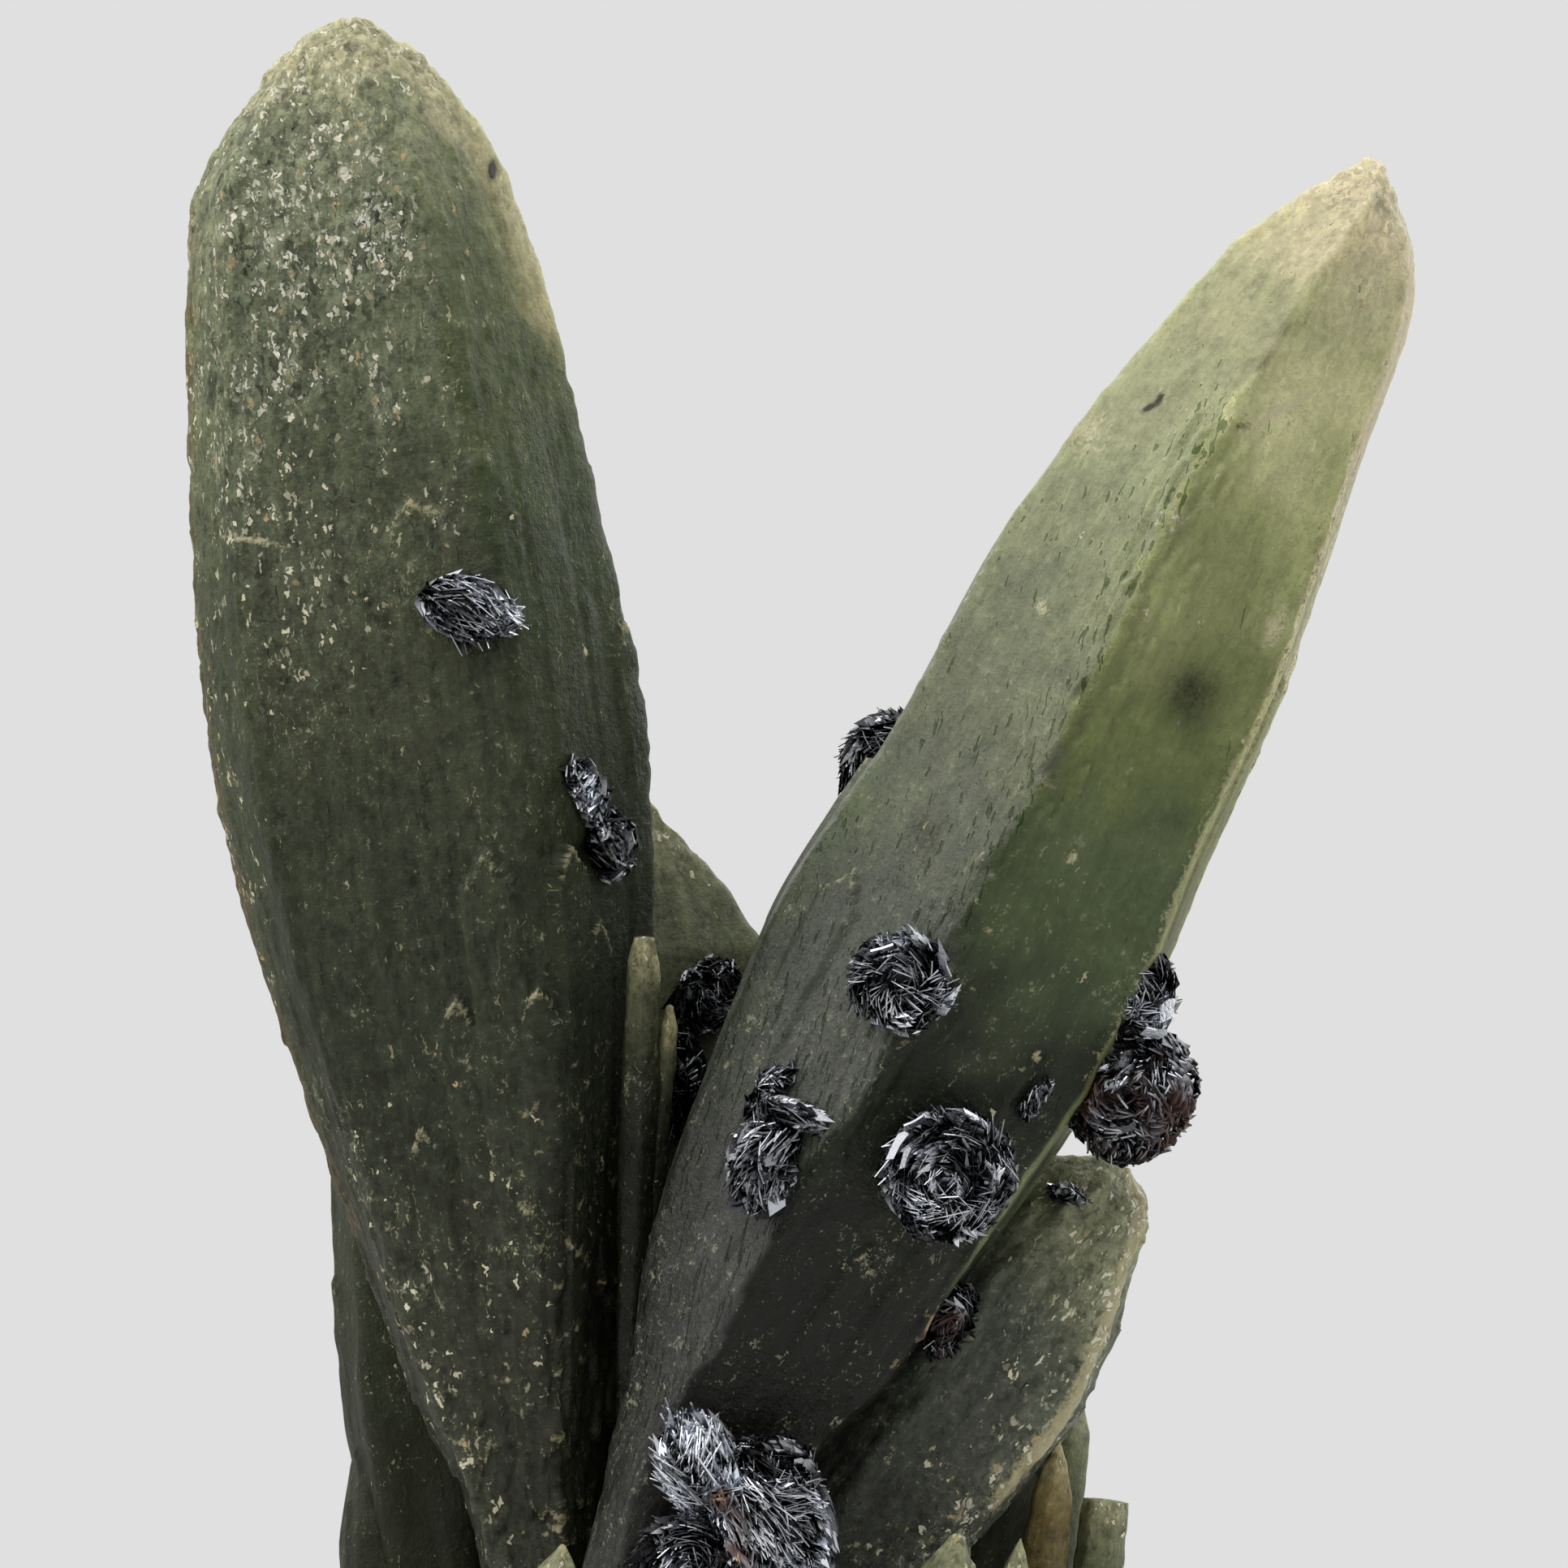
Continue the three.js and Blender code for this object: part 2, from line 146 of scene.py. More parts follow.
def noise(points: np.ndarray, seed: int, layers: int = 1) -> np.ndarray:
    """Smooth random field with a grain of one unit, in layers of half the size and height.

    Args:
        points: Where it is wanted, with the three coordinates last.
        seed: Which field is meant.
        layers: How many layers are added.

    Returns:
        One number for each point, mostly from -1 to 1.
    """
    total = np.zeros(points.shape[:-1])
    for layer in range(layers):
        at = points * 2**layer
        cell = np.floor(at).astype(np.int64)
        part = at - cell
        part = part * part * (3 - 2 * part)
        for corner in itertools.product((0, 1), repeat=3):
            weight = np.prod(np.where(np.array(corner) == 1, part, 1 - part), axis=-1)
            total += weight * (2 * hashed(cell + np.array(corner), seed + layer) - 1) / 2**layer
    return total


def cones(points: np.ndarray, seed: int) -> np.ndarray:
    """Height of cones that stand on scattered points, one to a cell of one unit.

    Args:
        points: Where it is wanted, with the three coordinates last.
        seed: Which field is meant.

    Returns:
        One number for each point: 1 on a cone's tip, 0 from one unit away.
    """
    cell = np.floor(points).astype(np.int64)
    nearest = np.full(points.shape[:-1], 9.0)
    for offset in itertools.product((-1, 0, 1), repeat=3):
        at = cell + np.array(offset)
        tip = at + np.stack([hashed(at, seed + k) for k in range(3)], axis=-1)
        nearest = np.minimum(nearest, np.linalg.norm(points - tip, axis=-1))
    return np.clip(1 - nearest, 0, 1)


def eased(rows: Sequence[Sequence[float]], at: np.ndarray) -> np.ndarray:
    """Smooth curve through a table's rows that never swings past them.

    Args:
        rows: Rows of a place followed by the values there.
        at: The places that are wanted.

    Returns:
        One row of values for each place.
    """
    table = np.array(rows, float)
    place, value = table[:, 0], table[:, 1:]
    step = np.diff(place)[:, None]
    rise = np.diff(value, axis=0) / step
    slope = np.zeros_like(value)
    slope[0], slope[-1] = rise[0], rise[-1]
    same = rise[:-1] * rise[1:] > 0
    total = np.where(same, rise[:-1] + rise[1:], 1)
    slope[1:-1] = np.where(same, 2 * rise[:-1] * rise[1:] / total, 0)
    k = np.clip(np.searchsorted(place, at, side="right") - 1, 0, len(place) - 2)
    wide = step[k]
    t = ((at - place[k]) / wide[:, 0])[:, None]
    return (
        (2 * t**3 - 3 * t**2 + 1) * value[k]
        + (t**3 - 2 * t**2 + t) * wide * slope[k]
        + (3 * t**2 - 2 * t**3) * value[k + 1]
        + (t**3 - t**2) * wide * slope[k + 1]
    )


def rounded(ring: np.ndarray, columns: float) -> np.ndarray:
    """A closed ring of points with its corners softened.

    Args:
        ring: Points, with the way round as the second axis.
        columns: How many points the softening reaches, as a standard deviation.

    Returns:
        The softened points.
    """
    reach = int(math.ceil(3 * columns))
    weights = [math.exp(-0.5 * (k / columns) ** 2) for k in range(-reach, reach + 1)]
    parts = [w * np.roll(ring, k, axis=1) for w, k in zip(weights, range(-reach, reach + 1))]
    return sum(parts) / sum(weights)


def make_object(
    name: str, points: np.ndarray, faces: Sequence[Sequence[int]], attributes: dict[str, np.ndarray]
) -> bpy.types.Object:
    """A mesh object in the scene.

    Args:
        name: The piece's name.
        points: Places in millimetres, one row each.
        faces: The corner numbers of each face.
        attributes: Vectors for each point, by name.

    Returns:
        The new object, with smooth faces.
    """
    mesh = bpy.data.meshes.new(name)
    mesh.from_pydata((points * MM).tolist(), [], faces)
    for key, values in attributes.items():
        layer = mesh.attributes.new(key, "FLOAT_VECTOR", "POINT")
        layer.data.foreach_set("vector", np.ascontiguousarray(values, dtype=np.float32).ravel())
    mesh.validate()
    mesh.polygons.foreach_set("use_smooth", [True] * len(mesh.polygons))
    made = bpy.data.objects.new(name, mesh)
    bpy.context.scene.collection.objects.link(made)
    return made


# Finishes

# The output and the setting of a node that mixes two colours.
RGBA = {"out": 2, "data_type": "RGBA"}


class Graph:
    """The node tree of one material or of the world."""

    def __init__(self, owner: bpy.types.Material | bpy.types.World) -> None:
        """Starts an empty tree.

        Args:
            owner: The material or world that gets the nodes.
        """
        owner.use_nodes = True
        self.tree = owner.node_tree
        self.tree.nodes.clear()

    def add(
        self, kind: str, *inputs: Any, out: int | str = 0, **settings: Any
    ) -> bpy.types.NodeSocket | None:
        """Adds a node with its settings and links.

        Args:
            kind: The node's type, without its ShaderNode prefix, and its operation after a dot.
            inputs: Values or sockets for its inputs in order, or one dictionary of them by name or number.
            out: The output that is wanted, by name or number.
            settings: The node's own settings.

        Returns:
            The wanted output, or None for a node that has no outputs.
        """
        kind, _, operation = kind.partition(".")
        node = self.tree.nodes.new("ShaderNode" + kind)
        if operation:
            node.operation = operation
        for key, value in settings.items():
            setattr(node, key, value)
        named = inputs[0] if inputs and isinstance(inputs[0], dict) else dict(enumerate(inputs))
        for key, value in named.items():
            if isinstance(value, bpy.types.NodeSocket):
                self.tree.links.new(value, node.inputs[key])
            else:
                node.inputs[key].default_value = value
        return node.outputs[out] if node.outputs else None

    def channels(self, attribute: str) -> list[bpy.types.NodeSocket]:
        """The three channels of one of the mesh's attributes."""
        vector = self.add("Attribute", out="Vector", attribute_name=attribute)
        return list(self.add("SeparateXYZ", vector).node.outputs)


@dataclass(frozen=True)
class PraseFinish:
    """Prase: quartz made leek-green by hair-fine inclusions, its faces as they grew.

    The fibres inside make it look waxy and half clear, darker where it is thick. Growth left fine
    ribs and slits along the axis, and the last quartz to grow left a cream druse at the tips.

    Attributes:
        name: The material's name.
        ramp: Colours from root to tip, each with its share of the length; the pale tip is partly the cream
            druse and partly painted glow of light through the thin end.
        turned: A shaded copy of the ramp for the marked faces: darker low down as painted shade, and lighter
            near the tip where it is set so, as painted glow of light through the tip.
        fibre: How strongly the fibres along the axis show, 0 to 1.
        plates: How strongly the short growth plates show away from the crust, 0 to 1.
        slits: How many dark slits open along the faces, 0 to 1.
        scratches: How many pale lath edges and scratches there are, 0 to 1.
        specks: Share of the small plates that are pale away from the crust.
        flecks: How many ragged flecks and thin scratches there are, 0 to 1.
        cloud: How much the colour wanders inside the crystal.
        grainy: How strongly blotches and grains of the colour show, 0 to 1.
        roughness: Roughness of a clean face.
        clear: How much of the light wanders through the fibres at the tip, 0 to 1.
        slant: How far the slits lean off the axis, in mm to the side for each mm up.
        gloss: How strongly a face mirrors the room; fibres that reach it break up half of its gloss.
    """

    name: str
    ramp: tuple[tuple[float, str], ...]
    turned: tuple[tuple[float, str], ...]
    fibre: float = 0.5
    plates: float = 0.3
    slits: float = 0.5
    scratches: float = 0.5
    specks: float = 0.08
    flecks: float = 0.5
    cloud: float = 0.12
    grainy: float = 1.0
    roughness: float = 0.42
    clear: float = 0.35
    slant: float = 0.0
    gloss: float = 0.22

    CREAM = "#cfc9a8"
    STRAW = "#a8a280"
    OCHRE = "#b59f74"
    FROST = "#90957e"
    MILK = "#efece0"
    BROWN = "#645333"
    # Painted shade inside a slit: what is left of a face's red, green and blue there.
    SLIT_SHADE = (0.3, 0.36, 0.28, 1.0)
    IOR = 1.54

    def material(self) -> bpy.types.Material:
        """Builds the material from the attributes that every crystal's mesh carries.

        Returns:
            The material.
        """
        made = bpy.data.materials.new(self.name)
        PraseRecipe(self, Graph(made)).finish_off()
        return made


class PraseRecipe:
    """The steps that make one prase material. Each step named add paints over the colour so far."""

    def __init__(self, finish: PraseFinish, graph: Graph) -> None:
        """Reads the mesh's attributes and lays the patterns that several steps share.

        Args:
            finish: The finish that is made.
            graph: The material's empty node tree.
        """
        self.finish, self.graph, g = finish, graph, graph
        self.grain = g.add("Attribute", out="Vector", attribute_name="grain")
        self.share, self.crust, self.rim = g.channels("growth")
        self.rust, self.dark, self.pale = g.channels("marks")
        # The middle channel of lines marks the faces that take painted shade low down and painted glow near
        # the tip.
        self.slit_here, self.green, self.satin = g.channels("lines")

        # Colour drifts over 6 mm or so where the inclusions crowd or thin out. Blotches of 1.3 mm,
        # grains of 0.4 mm and dust of 0.15 mm lie in it.
        self.cloud, self.mottle, self.fine, self.dust = (
            g.add("TexNoise", {"Vector": self.grain, "Scale": 1 / size, "Detail": detail, "Roughness": rough})
            for size, detail, rough in (
                (6.25, 2.0, 0.55), (1.33, 3.0, 0.6), (0.42, 3.0, 0.65), (0.14, 2.0, 0.7),
            )
        )
        self.drift = g.add("Math.SUBTRACT", self.cloud, 0.5)
        # Ribs 0.2 mm wide and 2 mm long, drawn a little coarser than the real fibres so they show.
        lengthwise = g.add("VectorMath.MULTIPLY", self.grain, per_mm(0.22, 2))
        self.ribs = g.add("TexNoise", {"Vector": lengthwise, "Scale": 1.0, "Detail": 3.0, "Roughness": 0.6})

        # The lines and plates below wander by up to half a millimetre.
        bent = g.add("TexNoise", {"Vector": self.grain, "Scale": 1 / 0.6, "Detail": 2.0}, out="Color")
        bent = g.add("VectorMath.SUBTRACT", bent, (0.5, 0.5, 0.5))
        self.bent = g.add("VectorMath.SCALE", {0: bent, "Scale": 0.9})
        self.wander = g.add("VectorMath.ADD", self.grain, self.bent)

        # Short overlapping growth plates, 0.3 mm wide and 0.7 mm long, each tilted its own way.
        short = g.add("VectorMath.MULTIPLY", self.wander, per_mm(0.29, 0.7))
        cells = {"Vector": short, "Scale": 1.0, "Randomness": 1.0}
        self.plate = g.add("TexVoronoi", cells, distance="MANHATTAN").node.outputs
        self.chance = g.add("SeparateColor", self.plate["Color"]).node.outputs
        local = g.add("VectorMath.SUBTRACT", short, self.plate["Position"])
        tilt = g.add("VectorMath.SUBTRACT", self.plate["Color"], (0.5, 0.5, 0.5))
        self.facet = g.add("VectorMath.DOT_PRODUCT", local, tilt, out="Value")
        self.rugged = g.add("Math.MULTIPLY_ADD", self.crust, 1.0 - finish.plates, finish.plates)

    def add_growth(self) -> None:
        """The colour from root to tip, with the shaded copy of the ramp on the marked faces as painted shade
        and painted glow.
        """
        g = self.graph
        place = g.add("Math.MULTIPLY_ADD", self.drift, self.finish.cloud * 2, self.share)
        tints = []
        for rows in (self.finish.ramp, self.finish.turned):
            tint = g.add("ValToRGB", place)
            stops = tint.node.color_ramp.elements
            for _ in range(len(rows) - 2):
                stops.new(0.5)
            for stop, (at, colour) in zip(stops, rows):
                stop.position, stop.color = at, linear(colour)
            tints.append(tint)
        # Painted shade and glow: the marked faces take the shaded copy of the ramp.
        self.colour = g.add("Mix", {0: self.green, 6: tints[0], 7: tints[1]}, **RGBA)

    def add_shades(self) -> None:
        """Plates, ribs, bands, blotches and laths that are lighter or darker than the next."""
        g, finish = self.graph, self.finish
        broad = g.add("VectorMath.MULTIPLY", self.grain, per_mm(0.9, 11))
        bands = g.add("TexNoise", {"Vector": broad, "Scale": 1.0, "Detail": 2.0, "Roughness": 0.5})
        # Laths 0.7 mm wide and 3 mm long, each a step higher or lower than the next.
        long = g.add("VectorMath.MULTIPLY", self.wander, per_mm(0.67, 3.1))
        lath = g.add("TexVoronoi", {"Vector": long, "Scale": 1.0, "Randomness": 1.0}, out="Color")
        step = g.add("SeparateColor", lath)

        stroke = g.add("Math.SUBTRACT", self.chance[1], 0.5)
        stroke = g.add("Math.MULTIPLY", stroke, self.rugged)
        tone = g.add("Math.MULTIPLY_ADD", stroke, 1.3, 0.38)
        calm = g.add("Math.MULTIPLY_ADD", self.green, -0.45, 1.0)
        for pattern, weight in (
            (self.ribs, 1.2 * finish.fibre), (bands, 1.4 * finish.fibre),
            (self.mottle, 1.4 * finish.grainy), (self.fine, 1.4 * finish.grainy),
        ):
            off = g.add("Math.SUBTRACT", pattern, 0.5)
            off = g.add("Math.MULTIPLY", off, calm)
            tone = g.add("Math.MULTIPLY_ADD", off, weight, tone)
        tone = g.add("Math.MULTIPLY_ADD", step, 0.24 * finish.fibre, tone)
        tone = g.add("Math.ADD", tone, 0.62 - 0.12 * finish.fibre)
        frost = g.add("Math.MULTIPLY", self.crust, 0.3)
        self.colour = g.add("Mix", {0: frost, 6: self.colour, 7: linear(finish.FROST)}, **RGBA)
        self.colour = g.add("VectorMath.SCALE", {0: self.colour, "Scale": tone})

    def add_scratches(self) -> None:
        """Pale edges of thin laths and scratches, 0.2 mm wide and 1 mm long, in loose groups."""
        g, finish = self.graph, self.finish
        drawn = g.add("VectorMath.MULTIPLY", self.wander, per_mm(0.19, 1.25))
        grouped = g.add("TexNoise", {"Vector": drawn, "Scale": 1.0, "Detail": 2.0, "Roughness": 0.5})
        for pattern, weight in ((self.mottle, 0.35), (self.cloud, 0.3), (self.crust, 0.1)):
            grouped = g.add("Math.MULTIPLY_ADD", pattern, weight, grouped)
        least = 1.06 - 0.06 * finish.scratches
        self.scratch = g.add("MapRange", grouped, least, least + 0.04, 0.0, 0.6)
        white = g.add("Mix", {0: self.crust, 6: linear(finish.STRAW), 7: linear(finish.MILK)}, **RGBA)
        self.colour = g.add("Mix", {0: self.scratch, 6: self.colour, 7: white}, **RGBA)

    def add_slits(self) -> None:
        """Slits 0.25 mm wide and 1 to 3 mm long, crowded where a face steps down: painted shade inside,
        painted highlight on the lips.
        """
        g, finish = self.graph, self.finish
        gentle = g.add("VectorMath.SCALE", {0: self.bent, "Scale": 0.3})
        gentle = g.add("VectorMath.ADD", self.grain, gentle)
        across, away, up = g.add("SeparateXYZ", gentle).node.outputs
        leaning = g.add("Math.MULTIPLY_ADD", up, finish.slant, across)
        narrow = g.add("CombineXYZ", leaning, away, up)
        narrow = g.add("VectorMath.MULTIPLY", narrow, per_mm(0.26, 3))
        wish = g.add("TexNoise", {"Vector": narrow, "Scale": 1.0, "Detail": 2.0, "Roughness": 0.45})
        for mask, weight in ((self.slit_here, 0.16), (self.crust, 0.03)):
            wish = g.add("Math.MULTIPLY_ADD", mask, weight, wish)
        least = 0.76 - 0.08 * finish.slits
        self.slit = g.add("MapRange", wish, least, least + 0.03, 0.0, 1.0)
        # Painted highlight: the face is lighter along the slits' lips.
        lip = g.add("MapRange", wish, least - 0.04, least - 0.005, 1.0, 1.4)
        self.colour = g.add("VectorMath.SCALE", {0: self.colour, "Scale": lip})
        # Painted shade: the face is darker inside the slits.
        slit_shade_mix = {0: self.slit, 6: self.colour, 7: finish.SLIT_SHADE}
        self.colour = g.add("Mix", slit_shade_mix, **RGBA, blend_type="MULTIPLY")

    def add_flecks(self) -> None:
        """Ragged flecks of 0.3 to 0.8 mm in loose clusters, and hair-thin scratches 2 to 4 mm long."""
        g, finish = self.graph, self.finish
        wish = self.fine
        for pattern, weight in ((self.dust, 0.5), (self.mottle, 0.7), (self.drift, 0.35)):
            wish = g.add("Math.MULTIPLY_ADD", pattern, weight, wish)
        least = 1.38 - 0.14 * finish.flecks
        fleck = g.add("MapRange", wish, least, least + 0.09, 0.0, 0.5)
        turned = {"Vector": self.wander, "Rotation": (0.3, 0.75, 0.2), "Scale": per_mm(0.14, 2.2)}
        across = g.add("TexNoise", {"Vector": g.add("Mapping", turned), "Scale": 1.0, "Detail": 1.0})
        across = g.add("Math.MULTIPLY_ADD", self.drift, 0.3, across)
        least = 0.76 - 0.05 * finish.flecks
        hair = g.add("MapRange", across, least, least + 0.03, 0.0, 0.45)
        fleck = g.add("Math.MAXIMUM", fleck, hair)
        self.colour = g.add("Mix", {0: fleck, 6: self.colour, 7: linear(finish.FROST)}, **RGBA)

    def add_stains(self) -> None:
        """Patches of cream quartz and of iron stain, broken up by the small plates."""
        g, finish = self.graph, self.finish
        ragged = g.add("Math.MULTIPLY_ADD", self.chance[2], 0.3, self.fine)
        ragged = g.add("Math.MULTIPLY_ADD", self.dust, 0.8, ragged)
        for mask, tint, most in (
            (self.pale, finish.CREAM, 0.8), (self.rim, finish.STRAW, 0.85), (self.rust, finish.BROWN, 0.85),
        ):
            broken = g.add("Math.ADD", ragged, mask)
            cover = g.add("MapRange", broken, 1.35, 1.75, 0.0, most)
            self.colour = g.add("Mix", {0: cover, 6: self.colour, 7: linear(tint)}, **RGBA)

    def add_flakes(self) -> None:
        """Small plates that are cream or ochre flakes, crowded where the crust is thick."""
        g, finish = self.graph, self.finish
        gather = g.add("MapRange", self.mottle, 0.46, 0.66, 0.15, 1.8)
        few, many = 0.03 * finish.specks, 0.16 * finish.specks
        strewn = g.add("MapRange", self.share, 0.35, 0.75, few, many)
        crowd = g.add("Math.MULTIPLY_ADD", self.crust, 1.15, strewn)
        crowd = g.add("Math.MULTIPLY", crowd, gather)
        chosen = g.add("Math.LESS_THAN", self.chance[0], crowd)
        # The dust eats into each flake's outline.
        nibble = g.add("Math.MULTIPLY_ADD", self.dust, 0.55, self.plate["Distance"])
        body = g.add("MapRange", nibble, 0.98, 0.9, 0.0, 1.0)
        self.flake = g.add("Math.MULTIPLY", chosen, body)
        tan = g.add("Math.MULTIPLY_ADD", self.rust, 0.5, self.chance[1])
        orange = g.add("Math.GREATER_THAN", tan, 0.88)
        white = g.add("Mix", {0: self.crust, 6: linear(finish.CREAM), 7: linear(finish.MILK)}, **RGBA)
        tint = g.add("Mix", {0: orange, 6: white, 7: linear(finish.OCHRE)}, **RGBA)
        bright = g.add("MapRange", self.chance[2], 0.0, 1.0, 0.2, 1.2)
        self.cover = g.add("Math.MULTIPLY", self.flake, bright)
        self.colour = g.add("Mix", {0: self.cover, 6: self.colour, 7: tint}, **RGBA)

    def add_dark(self) -> None:
        """Dark spots, pits and cracks, and patches of painted shade, ragged at the edge."""
        g = self.graph
        frayed = g.add("Math.MULTIPLY_ADD", self.fine, 1.6, -0.3)
        frayed = g.add("Math.ADD", self.dust, frayed)
        # Dark spots and painted shade: the colour is darkened where the mark is.
        depth = g.add("Math.MULTIPLY", self.dark, frayed)
        shade = g.add("MapRange", depth, 0.0, 1.0, 1.0, 0.12)
        self.colour = g.add("VectorMath.SCALE", {0: self.colour, "Scale": shade})

    def relief(self) -> bpy.types.NodeSocket:
        """Relief too fine for the mesh, in mm: plates, ribs, flakes, slits and a grain of 0.1 mm.

        Returns:
            The bumped normal.
        """
        g = self.graph
        lift = g.add("Math.MULTIPLY_ADD", self.rugged, 0.16, 0.03)
        height = g.add("Math.MULTIPLY", self.facet, lift)
        for pattern, most in (
            (self.ribs, 0.05 * self.finish.fibre + 0.015), (self.fine, 0.1), (self.dust, 0.04),
            (self.flake, 0.05), (self.scratch, 0.05), (self.slit, -0.13),
        ):
            height = g.add("Math.MULTIPLY_ADD", pattern, most, height)
        return g.add("Bump", {"Height": height, "Strength": 1.0, "Distance": MM})

    def inner_light(self) -> tuple[bpy.types.NodeSocket, bpy.types.NodeSocket]:
        """Thin tips let light from behind wander through them; crust and the thick foot let in little.

        Returns:
            The share of the light that enters, and how deep it goes, in metres.
        """
        g, clear = self.graph, self.finish.clear
        enters = g.add("MapRange", self.share, 0.35, 1.0, 0.1, clear)
        dense = g.add("MapRange", self.crust, 0.0, 1.0, 1.0, 0.3)
        bare = g.add("Math.MULTIPLY_ADD", self.cover, -0.9, 1.0)
        enters = g.add("Math.MULTIPLY", enters, dense)
        enters = g.add("Math.MULTIPLY", enters, bare)
        depth = g.add("MapRange", self.share, 0.35, 1.0, 0.3 * MM, 5 * MM * clear)
        return enters, depth

    def finish_off(self) -> None:
        """Takes all the steps and links the shader."""
        g, finish = self.graph, self.finish
        for step in (
            self.add_growth, self.add_shades, self.add_scratches, self.add_slits, self.add_flecks,
            self.add_stains, self.add_flakes, self.add_dark,
        ):
            step()
        smoothest, roughest = finish.roughness - 0.07, finish.roughness + 0.09
        rough = g.add("MapRange", self.ribs, 0.3, 0.7, smoothest, roughest)
        rough = g.add("Math.MULTIPLY_ADD", self.satin, -0.12, rough)
        enters, depth = self.inner_light()
        shader = g.add(
            "BsdfPrincipled",
            {
                "Base Color": self.colour,
                "Roughness": rough,
                "IOR": finish.IOR,
                "Specular IOR Level": finish.gloss,
                "Subsurface Weight": enters,
                "Subsurface Radius": (1.0, 1.15, 0.7),
                "Subsurface Scale": depth,
                "Normal": self.relief(),
            },
        )
        g.add("OutputMaterial", {"Surface": shader})


@dataclass(frozen=True)
class HematiteFinish:
    """Specular hematite: iron oxide in thin plates with a bright metallic lustre.

    It looks near black with silver flashes, since each plate mirrors one small part of the room.
    Where it weathers it turns to a dull red-brown oxide.

    Attributes:
        name: The material's name.
        steel: Colour of a clean plate.
        shadow: Colour deep between the plates.
        oxide: Colour of the red-brown stain.
        ochre: Colour where the stain is thickest.
        roughness: Roughness of a clean plate.
    """

    name: str = "specular_hematite_as_grown"
    steel: str = "#a9acb3"
    shadow: str = "#040405"
    oxide: str = "#4a2a20"
    ochre: str = "#c4a583"
    roughness: float = 0.2

    def material(self) -> bpy.types.Material:
        """Builds the material from the plates' own attribute.

        Returns:
            The material.
        """
        made = bpy.data.materials.new(self.name)
        g = Graph(made)
        depth, chance, rust = g.channels("plate")
        place = g.add("TexCoord", out="Object")
        # Streaks and etch pits of about 0.15 mm on the plates, and stains that spread over 1.4 mm.
        etch = g.add("TexNoise", {"Vector": place, "Scale": 1 / (0.15 * MM), "Detail": 3.0, "Roughness": 0.6})
        patch = g.add("TexNoise", {"Vector": place, "Scale": 1 / (1.4 * MM), "Detail": 3.0, "Roughness": 0.6})
        shine = g.add("MapRange", chance, 0.25, 0.9, 0.08, 1.9)
        steel = g.add("VectorMath.SCALE", {0: linear(self.steel)[:3], "Scale": shine})
        # Painted shade: plates turn to the shadow colour towards their sunk ends, and the core is mostly in
        # it.
        clear_of_painted_shade = g.add("MapRange", depth, 0.1, 0.6, 0.0, 1.0)
        colour = g.add("Mix", {0: clear_of_painted_shade, 6: linear(self.shadow), 7: steel}, **RGBA)
        stain = g.add("Math.ADD", patch, rust)
        red = g.add("MapRange", stain, 0.8, 1.1, 0.0, 0.9)
        yellow = g.add("MapRange", stain, 1.25, 1.45, 0.0, 1.0)
        for cover, tint in ((red, self.oxide), (yellow, self.ochre)):
            colour = g.add("Mix", {0: cover, 6: colour, 7: linear(tint)}, **RGBA)
        metal = g.add("Math.SUBTRACT", 1.0, red)
        smoothest, roughest = self.roughness - 0.08, self.roughness + 0.14
        rough = g.add("MapRange", etch, 0.3, 0.7, smoothest, roughest)
        rough = g.add("Math.MULTIPLY_ADD", red, 0.4, rough)
        bump = g.add("Bump", {"Height": etch, "Strength": 0.35, "Distance": 0.03 * MM})
        look = {"Base Color": colour, "Metallic": metal, "Roughness": rough, "Normal": bump}
        g.add("OutputMaterial", {"Surface": g.add("BsdfPrincipled", look)})
        return made


# The surface of a crystal


@dataclass(frozen=True)
class Lath:
    """One flat lath grown on a face: it rises from the face and ends in a point.

    Attributes:
        side: The face, by the edge that it starts from.
        across: Where its middle lies across the face, from 0 to 1.
        start: Share of the crystal's length where it leaves the face.
        end: Share of the length where its point is.
        half: Half its width.
        proud: Height of its point above the face.
        rim: How pale its point is, 0 to 1.
    """

    side: int
    across: float
    start: float
    end: float
    half: float
    proud: float
    rim: float = 0.6


@dataclass(frozen=True)
class Scales:
    """Many thin laths scattered over a stretch of the crystal.

    Attributes:
        count: How many.
        span: Shares of the length between which their free ends lie.
        length: Shortest and longest, in mm.
        half: Narrowest and widest half width, in mm.
        rise: Lowest and highest free end, in mm.
        toward: Which way the free ends point.
        rim: How pale the free ends are, 0 to 1.
        corner: The edge of the crystal that they line, or None for all round.
        spread: How far from that edge they stray, in mm.
    """

    count: int
    span: Pair
    length: Pair
    half: Pair
    rise: Pair
    toward: Toward = Toward.TIP
    rim: float = 0.3
    corner: int | None = None
    spread: float = 1.5


@dataclass(frozen=True)
class Patch:
    """A soft patch of one mark on the front, by its place in the plane of X and Z.

    Attributes:
        mark: What the patch carries.
        x: Its middle, in mm.
        z: The height of its middle, in mm.
        half_across: Half its width.
        half_along: Half its height.
        lean: How far it leans to the right, in degrees.
        strength: Its strength in the middle.
        behind: Whether it lies on the back instead.
    """

    mark: Mark
    x: float
    z: float
    half_across: float
    half_along: float
    lean: float = 0.0
    strength: float = 1.0
    behind: bool = False


@dataclass(frozen=True)
class Margin:
    """A soft band of one mark along a crystal's edge, between two shares of its length.

    Attributes:
        mark: What the band carries.
        corner: Which edge of the crystal.
        width: How far it reaches from the edge, in mm.
        span: The shares of the length between which it runs.
        strength: Its strength on the edge.
        side: The way round that it keeps to: 0 both ways, -1 back and 1 forward.
    """

    mark: Mark
    corner: int
    width: float
    span: Pair
    strength: float = 1.0
    side: int = 0


